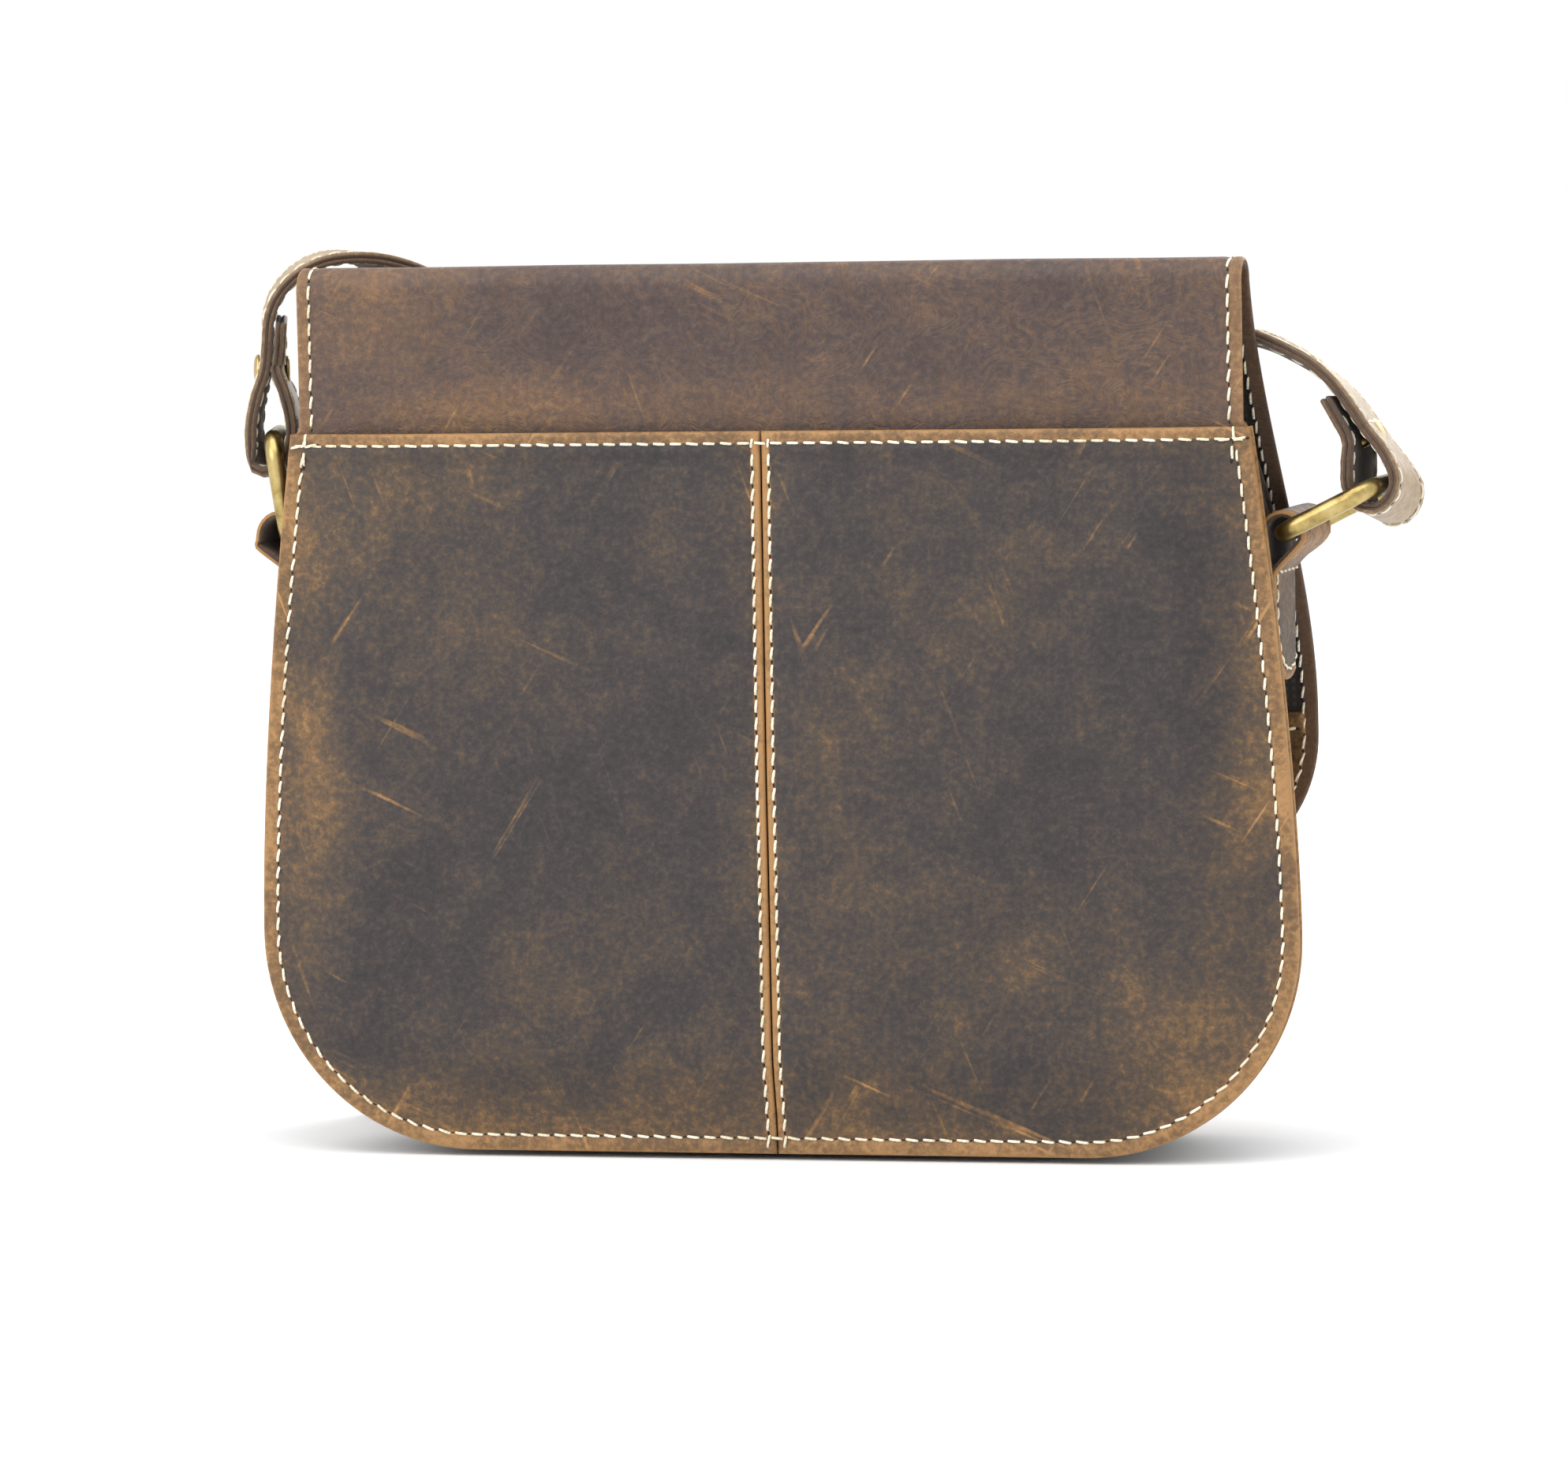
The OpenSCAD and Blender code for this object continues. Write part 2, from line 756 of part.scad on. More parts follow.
// The leather frame round the zip
module zip_welt() {
    border = 9;
    front = zip_face - tape_t - welt_t - 0.05;
    color(hide_dark)
        difference() {
            translate([-zip_length / 2 - border, front, zip_z - welt_gap - border])
                cube([zip_length + 2 * border, welt_t, 2 * (welt_gap + border)]);
            translate([-zip_length / 2, front - 1, zip_z - welt_gap])
                cube([zip_length, welt_t + 2, 2 * welt_gap]);
        }
}

module zip_slider() {
    plate_back = zip_face - tape_t - 0.35;
    front = plate_back - teeth_t - slider_t / 2 - 0.3;
    color(antique_brass)
        translate([slider_x, 0, zip_z])
            difference() {
                union() {
                    translate([-slider_w / 2, front, -slider_w / 2])
                        cube([slider_w, plate_back - front, slider_w]);
                    translate([-3, front - 2.6, -1.2])
                        cube([6, 2.7, 2.4]);
                }
                translate([-slider_w, front + slider_t / 2, -teeth_half - 0.4])
                    cube([2 * slider_w, teeth_t + 2, 2 * teeth_half + 0.8]);
                translate([0, front - 1.3, -3])
                    cylinder(r = 0.9, h = 6, $fn = 24);
            }
}

zip_pin_y = zip_face - tape_t - 0.35 - teeth_t - slider_t / 2 - 0.3 - 1.3;

// The pull tab: a pin through the slider's bridge, two arms and a rounded tongue
module zip_puller() {
    arm_z = 2.2;
    length = 26;
    color(antique_brass)
        translate([slider_x, zip_pin_y, zip_z])
            union() {
                translate([0, 0, -arm_z])
                    cylinder(r = 0.9 - fit, h = 2 * arm_z, $fn = 24);
                for (side = [-1, 1])
                    translate([-0.8, -0.7, side * arm_z - 0.6])
                        cube([7, 1.4, 1.2]);
                translate([5.5, -0.7, -arm_z - 0.6])
                    cube([length - 8, 1.4, 2 * arm_z + 1.2]);
                translate([length - 2.5, 0.7, 0])
                    rotate([90, 0, 0])
                        cylinder(r = arm_z + 0.6, h = 1.4);
            }
}

// The flat cloth bag behind the zip, between the back panel and the lining
module zip_pocket_bag() {
    bag_half = 92;
    bag_low = 40;
    color(cloth)
        translate([-bag_half, lining_back + 0.4, bag_low])
            cube([2 * bag_half, 1.2, zip_z + 16 - bag_low]);
}

back_panel();
back_pocket_left();
back_pocket_right();
front_panel();
main_gusset();
body_lining();
flap_fold();
flap_shell();
flap_lining();
flap_facing();
snap_stud();
snap_stud_washer();
snap_socket();
snap_socket_washer();
left_ring_tab();
right_ring_tab();
left_ring();
right_ring();
strap_billet();
strap_long();
left_strap_rivet();
right_strap_rivet();
buckle_frame();
buckle_prong();
buckle_rivet();
strap_keeper();
zip_welt();
zip_tape();
zip_teeth();
zip_slider();
zip_puller();
zip_pocket_bag();
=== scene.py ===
# Looks of a leather cross-body saddle bag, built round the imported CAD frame.
# Lengths are millimetres unless a name says otherwise, and become metres when a mesh is made.
import bpy
import bmesh
import math
import random
from mathutils import Matrix, Vector, noise


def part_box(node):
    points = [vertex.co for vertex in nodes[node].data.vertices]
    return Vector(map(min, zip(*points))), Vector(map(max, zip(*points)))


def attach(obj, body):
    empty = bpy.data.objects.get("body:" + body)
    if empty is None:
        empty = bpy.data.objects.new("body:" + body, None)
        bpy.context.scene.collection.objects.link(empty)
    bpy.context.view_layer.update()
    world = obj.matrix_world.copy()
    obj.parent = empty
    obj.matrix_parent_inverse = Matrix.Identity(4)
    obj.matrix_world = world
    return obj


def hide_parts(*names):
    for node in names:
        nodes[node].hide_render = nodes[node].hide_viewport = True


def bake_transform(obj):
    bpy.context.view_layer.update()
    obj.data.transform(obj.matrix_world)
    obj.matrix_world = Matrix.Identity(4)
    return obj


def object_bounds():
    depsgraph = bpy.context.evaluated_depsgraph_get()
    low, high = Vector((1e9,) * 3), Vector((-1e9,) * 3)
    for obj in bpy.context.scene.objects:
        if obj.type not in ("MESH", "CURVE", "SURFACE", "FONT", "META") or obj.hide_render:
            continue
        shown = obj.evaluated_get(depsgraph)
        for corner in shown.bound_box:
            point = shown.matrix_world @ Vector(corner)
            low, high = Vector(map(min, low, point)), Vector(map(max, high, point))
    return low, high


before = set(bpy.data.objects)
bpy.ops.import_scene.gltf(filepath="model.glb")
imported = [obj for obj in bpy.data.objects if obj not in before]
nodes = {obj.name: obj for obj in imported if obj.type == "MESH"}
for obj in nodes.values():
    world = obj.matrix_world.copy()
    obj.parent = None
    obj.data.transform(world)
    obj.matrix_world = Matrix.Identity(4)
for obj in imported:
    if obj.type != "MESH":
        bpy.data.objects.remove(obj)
cad_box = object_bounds()
MM = 0.001
chance = random.Random(7)


def top_of(node):
    """The highest corner of a CAD node, in millimetres."""
    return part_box(node)[1] / MM


def foot_of(node):
    """The lowest corner of a CAD node, in millimetres."""
    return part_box(node)[0] / MM


# ---- sizes, from the frame where a node gives them ----

BODY_H = top_of("back_pocket_left").z
BODY_HALF = top_of("back_pocket_left").x
FLAP_DEPTH = -foot_of("flap_shell").y
FLAP_HALF = top_of("flap_shell").x
FLAP_TOP_HALF = top_of("flap_fold").x
FOLD_R = top_of("flap_fold").z - foot_of("flap_fold").z
FOLD_Z = foot_of("flap_fold").z
TAB_BOTTOM = foot_of("left_ring_tab").z
STRAP_W = top_of("left_ring_tab").y - foot_of("left_ring_tab").y
LEATHER = 2.0
CORNER_R = 58.0
BASE_HALF = BODY_HALF - CORNER_R
MOUTH_HALF = 131.0
BELLY_Z = 112.0
WAIST_Y = -33.0           # in front of this depth the sides draw in towards the front
DRAW_IN = 0.135           # share of the width that is lost at the flap's depth
FOLD_FRONT = 2 * FOLD_R - LEATHER / 2
GUSSET_INSET = 5.0
TAPER_TOP = 148.0         # from here up the front panel is narrower than the back one
FRONT_OFFSET = 6.0        # from the flap's outer face to the front panel's
FACING_TOP = 112.0
FLAP_ROUND_Z = 106.0
FLAP_CORNER_R = 40.0
SWEEP = math.radians(50)  # of the flap's corner arc
SEAM = 4.3                # stitch line's distance from the edge of a panel
FLAP_SEAM = 3.6           # the same along the flap
HEM_SEAM = 3.2            # the same under the pocket's hem
CENTRE_SEAM = 2.3         # from the pocket's middle seam to the stitch line on each side
HEM_RISE = 0.45           # the folded hem stands this much above the pocket's face
PITCH = 4.6               # from one stitch to the next
STITCH_FACE = LEATHER / 2 - 0.25   # stitches sink this deep into a panel's face


# ---- shape functions ----

def smooth(t):
    c = min(1.0, max(0.0, t))
    return c * c * (3 - 2 * c)


def bell(x, middle, width):
    return math.exp(-((x - middle) / width) ** 2)


def side_half(z):
    """Half width of the body above its rounded corners."""
    rise = max(0.0, (z - CORNER_R) / (BODY_H - CORNER_R))
    return BODY_HALF - (BODY_HALF - MOUTH_HALF) * rise ** 1.6


def reach(z):
    """Distance of the flap's outer face in front of the back panel."""
    return FOLD_FRONT + (FLAP_DEPTH - FOLD_FRONT) * smooth((FOLD_Z - z) / (FOLD_Z - BELLY_Z))


def drawn_in(p):
    """A point of the body, moved towards the middle as the sides draw in towards the front."""
    share = max(0.0, (WAIST_Y - p.y) / (FLAP_DEPTH + WAIST_Y))
    return Vector((p.x * (1 - DRAW_IN * share), p.y, p.z))


def rim_distance(x, z):
    """How far a point of a panel is inside the side and bottom edges."""
    x = abs(x)
    if z < CORNER_R and x > BASE_HALF:
        return CORNER_R - math.hypot(x - BASE_HALF, CORNER_R - z)
    return min(z, side_half(z) - x)


def steps(a, b, step):
    """Values from a towards b, without b."""
    count = max(1, round(abs(b - a) / step))
    return [a + (b - a) * i / count for i in range(count)]


def mirrored(half):
    """A closed outline from its right half, which runs from the bottom middle to the top middle."""
    return half + [(-x, v) for x, v in reversed(half[1:-1])]


def body_half_outline(inset, top, taper=0.0):
    """Right half of the body's outline, from the bottom up to the height top."""
    r = CORNER_R - inset
    points = [(x, inset) for x in steps(0, BASE_HALF, 3.0)]
    for a in steps(-90, 0, 2.6):
        angle = math.radians(a)
        points.append((BASE_HALF + r * math.cos(angle), CORNER_R + r * math.sin(angle)))
    for z in steps(CORNER_R, top, 2.4) + [top]:
        narrow = taper * smooth((z - CORNER_R) / (TAPER_TOP - CORNER_R))
        points.append((side_half(z) - inset - narrow, z))
    return points


def body_outline(inset, top, taper=0.0):
    half = body_half_outline(inset, top, taper)
    edge = half[-1][0]
    return mirrored(half + [(x, top) for x in steps(edge, 0, 3.0)[1:]] + [(0, top)])


def flap_half_outline(inset, top):
    """Right half of the flap's outline in x and z, from the bottom middle to the height top."""
    corner_x = FLAP_HALF - FLAP_CORNER_R
    wide_x = corner_x + FLAP_CORNER_R * math.cos(SWEEP)
    wide_z = FLAP_ROUND_Z - FLAP_CORNER_R * math.sin(SWEEP)
    wide_r = wide_x / math.cos(SWEEP)
    centre = wide_z + wide_r * math.sin(SWEEP)
    points = []
    for a in steps(-math.pi / 2, -SWEEP, 0.014):
        points.append(((wide_r - inset) * math.cos(a), centre + (wide_r - inset) * math.sin(a)))
    for a in steps(-SWEEP, 0, 0.06):
        r = FLAP_CORNER_R - inset
        points.append((corner_x + r * math.cos(a), FLAP_ROUND_Z + r * math.sin(a)))
    for z in steps(FLAP_ROUND_Z, top, 2.4) + [top]:
        share = ((z - FLAP_ROUND_Z) / (FOLD_Z - FLAP_ROUND_Z)) ** 1.8
        points.append((FLAP_HALF + (FLAP_TOP_HALF - FLAP_HALF) * share - inset, z))
    return points


def both_sides(half):
    """A path from the left top round the bottom to the right top."""
    return [(-x, v) for x, v in reversed(half[1:])] + half


class Path:
    """A curve in space with a direction across it, walked by its length."""

    def __init__(self, points, across, normal_sign=1.0):
        self.points = points
        self.lengths = [0.0]
        for a, b in zip(points, points[1:]):
            self.lengths.append(self.lengths[-1] + (b - a).length)
        self.length = self.lengths[-1]
        self.frames = []
        last = len(points) - 1
        for i in range(len(points)):
            t = (points[min(last, i + 1)] - points[max(0, i - 1)]).normalized()
            w = (across[i] - across[i].dot(t) * t).normalized()
            self.frames.append((t, w, normal_sign * t.cross(w)))

    def at(self, v):
        """Place, tangent, across and normal at the length v, straight on past the ends."""
        low, high = 0, len(self.points) - 2
        while low < high:
            middle = (low + high + 1) // 2
            if self.lengths[middle] <= v:
                low = middle
            else:
                high = middle - 1
        span = self.lengths[low + 1] - self.lengths[low]
        share = (v - self.lengths[low]) / span
        part = min(1.0, max(0.0, share))
        a, b = self.frames[low], self.frames[low + 1]
        t, w, n = (x.lerp(y, part).normalized() for x, y in zip(a, b))
        place = self.points[low].lerp(self.points[low + 1], part)
        return place + t * (share - part) * span, t, w, n

    def place(self, u, v, h):
        p, _, w, n = self.at(v)
        return p + w * u + n * h


def spline(points, count):
    """A smooth curve through points, with count stretches between two of them."""
    last = len(points) - 1
    result = []
    for i in range(last):
        a, b, c, d = (points[max(0, i - 1)], points[i], points[i + 1], points[min(last, i + 2)])
        for k in range(count):
            t = k / count
            result.append(0.5 * (2 * b + (c - a) * t + (2 * a - 5 * b + 4 * c - d) * t * t
                                 + (3 * b - a - 3 * c + d) * t ** 3))
    return result + [points[-1]]


# ---- surfaces: each gives the place of (u, v) at the height h above the leather's middle ----

def hide_profile():
    """The one piece of leather that is back panel, fold and flap, from the base up and over."""
    middle = FOLD_R - LEATHER / 2
    line = [Vector((0, 0, z)) for z in steps(0, FOLD_Z, 3.0)]
    for a in steps(0, math.pi, 0.16):
        line.append(Vector((0, -middle + middle * math.cos(a), FOLD_Z + middle * math.sin(a))))
    low = foot_of("flap_shell").z - 2
    for z in steps(FOLD_Z, low, 2.0) + [low]:
        line.append(Vector((0, LEATHER / 2 - reach(z), z)))
    # the fold's axis runs along y = -middle, and the back panel lies at y = 0
    return Path(line, [Vector((1, 0, 0))] * len(line))


HIDE = hide_profile()
FLAP_START = next(v for p, v in zip(HIDE.points, HIDE.lengths) if p.y <= -2 * (FOLD_R - 1) + 0.001)


def flap_length(z):
    """The length along the hide at which the flap comes down to the height z."""
    for i in range(len(HIDE.points) - 1, 0, -1):
        low, high = HIDE.points[i], HIDE.points[i - 1]
        if low.z <= z <= high.z and high.y < -FOLD_R:
            share = (z - low.z) / (high.z - low.z)
            return HIDE.lengths[i] + (HIDE.lengths[i - 1] - HIDE.lengths[i]) * share
    return FLAP_START


def sway(u, v, seed, size, amount):
    """A slow unevenness of the leather, the same each run."""
    return amount * noise.noise(Vector((u / size, v / size, seed)))


def hide_place(u, v, h):
    calm = smooth((v - 196) / 20)
    return HIDE.place(u, v, h + calm * sway(u, v, 3.1, 55, 0.45))


def flap_inner_place(offset):
    """The surface of a layer that lies offset inside the flap's outer face."""
    def place(u, v, h):
        return hide_place(u, v, LEATHER / 2 - offset - h)
    return place


def field_place(depth, side):
    """The surface y = depth(x, z), whose outer face looks along y * side."""
    def place(u, v, h):
        e = 0.5
        slope_u = (depth(u + e, v) - depth(u - e, v)) / (2 * e)
        slope_v = (depth(u, v + e) - depth(u, v - e)) / (2 * e)
        normal = Vector((-slope_u, 1, -slope_v)).normalized() * side
        return Vector((u, depth(u, v), v)) + normal * h
    return place


def pocket_depth(x, z):
    """The back pocket: flat at its sewn rim, standing off the back panel within it."""
    inside = smooth((rim_distance(x, z) - 3.5) / 24)
    lift = 4.1 - 1.0 * smooth((z - 120) / (BODY_H - 120))
    seam = 0.55 * bell(x, 0, 7)
    slump = 0.5 * noise.noise(Vector((x / 48, z / 60, 8.2)))
    slump += 0.35 * noise.noise(Vector((x / 19, z / 26, 1.7)))
    return LEATHER + inside * (lift - seam + slump)


def front_depth(x, z):
    return -(reach(z) - FRONT_OFFSET - LEATHER / 2)


# ---- meshes ----

def make_object(name, verts, faces, materials, smooth_faces=True, face_mats=None):
    mesh = bpy.data.meshes.new(name)
    mesh.from_pydata([v * MM for v in verts], [], faces)
    for material in materials:
        mesh.materials.append(material)
    if face_mats:
        mesh.polygons.foreach_set("material_index", face_mats)
    mesh.polygons.foreach_set("use_smooth", [smooth_faces] * len(mesh.polygons))
    obj = bpy.data.objects.new(name, mesh)
    bpy.context.scene.collection.objects.link(obj)
    return obj


def settle(piece, body, slot, *stands_for):
    """Puts a piece on its body and, if named, in the place of CAD nodes; the slot argument is not used."""
    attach(piece, body)
    if stands_for:
        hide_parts(*stands_for)


def face_outwards(obj):
    work = bmesh.new()
    work.from_mesh(obj.data)
    bmesh.ops.recalc_face_normals(work, faces=work.faces)
    work.to_mesh(obj.data)
    work.free()


def point_values(obj, name, kind, values):
    layer = obj.data.attributes.new(name, kind, "POINT")
    flat = [x for value in values for x in value] if kind == "FLOAT_VECTOR" else values
    layer.data.foreach_set("vector" if kind == "FLOAT_VECTOR" else "value", flat)


def inset_ring(points, targets, distance):
    """The closed outline, anticlockwise, moved towards the targets until it is distance inside its edges."""
    result = []
    for i, (x, y) in enumerate(points):
        here = Vector((x, y))
        before = here - Vector(points[i - 1])
        after = Vector(points[(i + 1) % len(points)]) - here
        way = Vector(targets[i]) - here
        gains = [max(0.12 * way.length, (-e.y * way.x + e.x * way.y) / e.length) for e in (before, after)]
        share = min(0.8, distance * 0.5 * (1 / gains[0] + 1 / gains[1]))
        result.append((x + way.x * share, y + way.y * share))
    return result


INSETS = (0, 0.12, 0.4, 0.8, 1.4, 2.1, 2.9, 3.6, 4.3, 5.0, 5.8, 7.0, 9.0, 12.0)


def leaf(name, outline, place, thick, spine, materials, inset_max=12.0, inner=18, relief=None, wear=None):
    """A closed sheet of leather or cloth over the flat outline, with rounded edges.

    Rings of points run inwards from the outline and end on the spine. relief(u, v, d) raises the outer
    face and wear(u, v, d) says how worn it is, on the back pocket with painted highlight bands added,
    where d is the distance from the edge."""
    insets = [d for d in INSETS if d <= inset_max]
    targets = [spine(x, y) for x, y in outline]
    rings = [[(p, d) for p in inset_ring(outline, targets, d)] for d in insets]
    start = rings[-1]
    for k in range(1, inner + 1):
        share = k / inner
        ring = []
        for (p, d), (sx, sy) in zip(start, targets):
            q = (p[0] + (sx - p[0]) * share, p[1] + (sy - p[1]) * share)
            ring.append((q, d + math.hypot(q[0] - p[0], q[1] - p[1])))
        rings.append(ring)
    half = thick / 2
    verts, flats, wear_and_painted_light, edge = [], [], [], []
    seen = {}

    def vertex(u, v, d, side):
        key = (round(u, 3), round(v, 3), side if d > 0 else 0)
        if key in seen:
            return seen[key]
        round_off = math.sqrt(max(0.0, 1 - (1 - min(d, half) / half) ** 2))
        rise = relief(u, v, d) if relief and side > 0 else 0.0
        verts.append(place(u, v, side * half * round_off + rise * min(1.0, d / half)))
        flats.append((u * 0.01, v * 0.01, 0.0 if side > 0 else 3.7))
        wear_and_painted_light.append(wear(u, v, d) if wear else 0.0)
        edge.append(d)
        seen[key] = len(verts) - 1
        return seen[key]

    faces, mats = [], []
    count = len(outline)
    for side in (1, -1):
        grid = [[vertex(p[0], p[1], d, side) for p, d in ring] for ring in rings]
        for a, b in zip(grid, grid[1:]):
            for i in range(count):
                j = (i + 1) % count
                loop = [a[i], a[j], b[j], b[i]]
                loop = [x for n, x in enumerate(loop) if x != loop[n - 1]]
                if len(set(loop)) > 2 and len(set(loop)) == len(loop):
                    faces.append(loop if side > 0 else loop[::-1])
                    mats.append(0 if side > 0 else len(materials) - 1)
    obj = make_object(name, verts, faces, materials, face_mats=mats)
    point_values(obj, "flat", "FLOAT_VECTOR", flats)
    point_values(obj, "wear_and_painted_light", "FLOAT", wear_and_painted_light)
    point_values(obj, "rim", "FLOAT", edge)
    face_outwards(obj)
    return obj


def tube(verts, faces, centres, radii, ups, sides):
    """Adds a closed tube along centres, flattened a little towards ups."""
    start = len(verts)
    last = len(centres) - 1
    for i, (c, r, up) in enumerate(zip(centres, radii, ups)):
        t = (centres[min(last, i + 1)] - centres[max(0, i - 1)]).normalized()
        across = t.cross(up).normalized()
        for k in range(sides):
            a = 2 * math.pi * k / sides
            verts.append(c + across * r * math.cos(a) + up * 0.85 * r * math.sin(a))
    for i in range(last):
        for k in range(sides):
            a, b = start + i * sides + k, start + i * sides + (k + 1) % sides
            faces.append([a, b, b + sides, a + sides])
    faces.append([start + k for k in reversed(range(sides))])
    faces.append([start + last * sides + k for k in range(sides)])


def lens(verts, faces, middle, along, up, long_r, short_r, height):
    """Adds a small flat lens: a dark disc of painted shade for a needle hole or a punched hole."""
    start = len(verts)
    across = up.cross(along).normalized()
    sides = 8
    for k in range(sides):
        a = 2 * math.pi * k / sides
        verts.append(middle + along * long_r * math.cos(a) + across * short_r * math.sin(a))
    verts.append(middle + up * height)
    verts.append(middle - up * height)
    for k in range(sides):
        a, b = start + k, start + (k + 1) % sides
        faces.append([a, b, start + sides])
        faces.append([b, a, start + sides + 1])


def walk(path, distance, lengths):
    """The point and direction at a distance along a flat path."""
    i = 0
    while i < len(lengths) - 2 and lengths[i + 1] < distance:
        i += 1
    span = lengths[i + 1] - lengths[i]
    share = (distance - lengths[i]) / span
    a, b = Vector(path[i]), Vector(path[i + 1])
    return a.lerp(b, share), (b - a).normalized()


def sew(name, rows, body, slant=8.0, width=0.38):
    """Stitches along flat paths: rows is a list of (path, place, height of the face, side)."""
    verts, faces, mats = [], [], []
    for path, place, height, side in rows:
        lengths = [0.0]
        for a, b in zip(path, path[1:]):
            lengths.append(lengths[-1] + math.hypot(b[0] - a[0], b[1] - a[1]))
        count = max(1, round(lengths[-1] / PITCH))
        pitch = lengths[-1] / count
        for i in range(count):
            middle, along = walk(path, (i + 0.5) * pitch, lengths)
            turn = math.radians(slant * side + chance.uniform(-4, 4))
            along = Matrix.Rotation(turn, 2) @ along
            half = pitch * (0.40 + chance.uniform(-0.025, 0.015))
            profile = ((-1, -0.5, 0.30), (-0.8, 0.12, 0.44), (-0.3, 0.34, 0.5), (0.3, 0.34, 0.5),
                       (0.8, 0.12, 0.44), (1, -0.5, 0.30))
            centres, radii, ups = [], [], []
            for s, h, r in profile:
                q = middle + along * half * s
                base = place(q.x, q.y, side * (height + h * width * 2))
                ups.append((place(q.x, q.y, side * (height + 2)) - base).normalized())
                centres.append(base)
                radii.append(r * width * 2)
            before = len(faces)
            tube(verts, faces, centres, radii, ups, 7)
            mats += [0] * (len(faces) - before)
            # each needle hole is a dark disc of painted shade
            q, along = walk(path, i * pitch, lengths)
            base = place(q.x, q.y, side * (height - 0.03))
            up = (place(q.x, q.y, side * (height + 2)) - base).normalized()
            ahead = place(q.x + along.x, q.y + along.y, side * height) - base
            before = len(faces)
            lens(verts, faces, base, ahead.normalized(), up, 0.6, 0.38, 0.12)
            mats += [1] * (len(faces) - before)
    obj = make_object(name, verts, faces, [THREAD, HOLE_SHADE], face_mats=mats)
    settle(obj, body, "thread")
    return obj


# ---- materials ----

class Nodes:
    """Short calls for building a material's node tree."""

    def __init__(self, name):
        self.material = bpy.data.materials.new(name)
        self.material.use_nodes = True
        self.tree = self.material.node_tree
        self.shader = self.tree.nodes["Principled BSDF"]

    def add(self, kind, inputs=None, **settings):
        node = self.tree.nodes.new(kind)
        for key, value in settings.items():
            setattr(node, key, value)
        for key, value in (inputs or {}).items():
            if isinstance(value, bpy.types.NodeSocket):
                self.tree.links.new(value, node.inputs[key])
            else:
                node.inputs[key].default_value = value
        return node

    def maths(self, operation, a, b=0.0, clamp=False):
        return self.add("ShaderNodeMath", {0: a, 1: b}, operation=operation, use_clamp=clamp).outputs[0]

    def noise(self, where, scale, detail=4.0, rough=0.55, twist=0.0):
        return self.add("ShaderNodeTexNoise", {"Vector": where, "Scale": scale, "Detail": detail,
                                               "Roughness": rough, "Distortion": twist}).outputs["Fac"]

    def stretched(self, where, size, turn=0.0):
        return self.add("ShaderNodeMapping", {"Vector": where, "Scale": size,
                                              "Rotation": (0, 0, turn)}).outputs["Vector"]

    def span(self, value, low, high, to_low=0.0, to_high=1.0):
        return self.add("ShaderNodeMapRange", {"Value": value, "From Min": low, "From Max": high,
                                               "To Min": to_low, "To Max": to_high}).outputs["Result"]

    def ramp(self, value, stops):
        node = self.add("ShaderNodeValToRGB", {"Fac": value})
        ramp = node.color_ramp
        while len(ramp.elements) < len(stops):
            ramp.elements.new(0.5)
        for element, (place, colour) in zip(ramp.elements, stops):
            element.position = place
            element.color = (*colour, 1)
        return node.outputs["Color"]

    def mix(self, share, a, b, blend="MIX"):
        node = self.add("ShaderNodeMix", data_type="RGBA", blend_type=blend)
        for key, value in ((0, share), (6, a), (7, b)):
            if isinstance(value, bpy.types.NodeSocket):
                self.tree.links.new(value, node.inputs[key])
            else:
                node.inputs[key].default_value = value if key == 0 else (*value, 1)
        return node.outputs[2]

    def bump(self, height, strength, distance, normal=None):
        inputs = {"Height": height, "Strength": strength, "Distance": distance}
        if normal is not None:
            inputs["Normal"] = normal
        return self.add("ShaderNodeBump", inputs).outputs["Normal"]

    def finish(self, colour=None, roughness=None, normal=None, **constants):
        for key, value in (("Base Color", colour), ("Roughness", roughness), ("Normal", normal)):
            if isinstance(value, bpy.types.NodeSocket):
                self.tree.links.new(value, self.shader.inputs[key])
            elif value is not None:
                self.shader.inputs[key].default_value = value
        for key, value in constants.items():
            self.shader.inputs[key.replace("_", " ")].default_value = value
        return self.material


def tone(red, green, blue):
    """A colour given as it looks on a screen, 0 to 255, as the linear values that Blender wants."""
    return tuple(((c / 255 + 0.055) / 1.055) ** 2.4 for c in (red, green, blue))


def scratches(n, where, turn, scale):
    """Sparse thin lines along one direction."""
    turned = n.stretched(where, (1, 1, 1), turn)
    lines = n.noise(n.stretched(turned, (scale, scale * 0.035, 1)), 1.0, 2.0, 0.5)
    patches = n.noise(where, 2.3 + turn, 2.0)
    return n.maths("MULTIPLY", n.span(lines, 0.64, 0.7), n.span(patches, 0.52, 0.66))


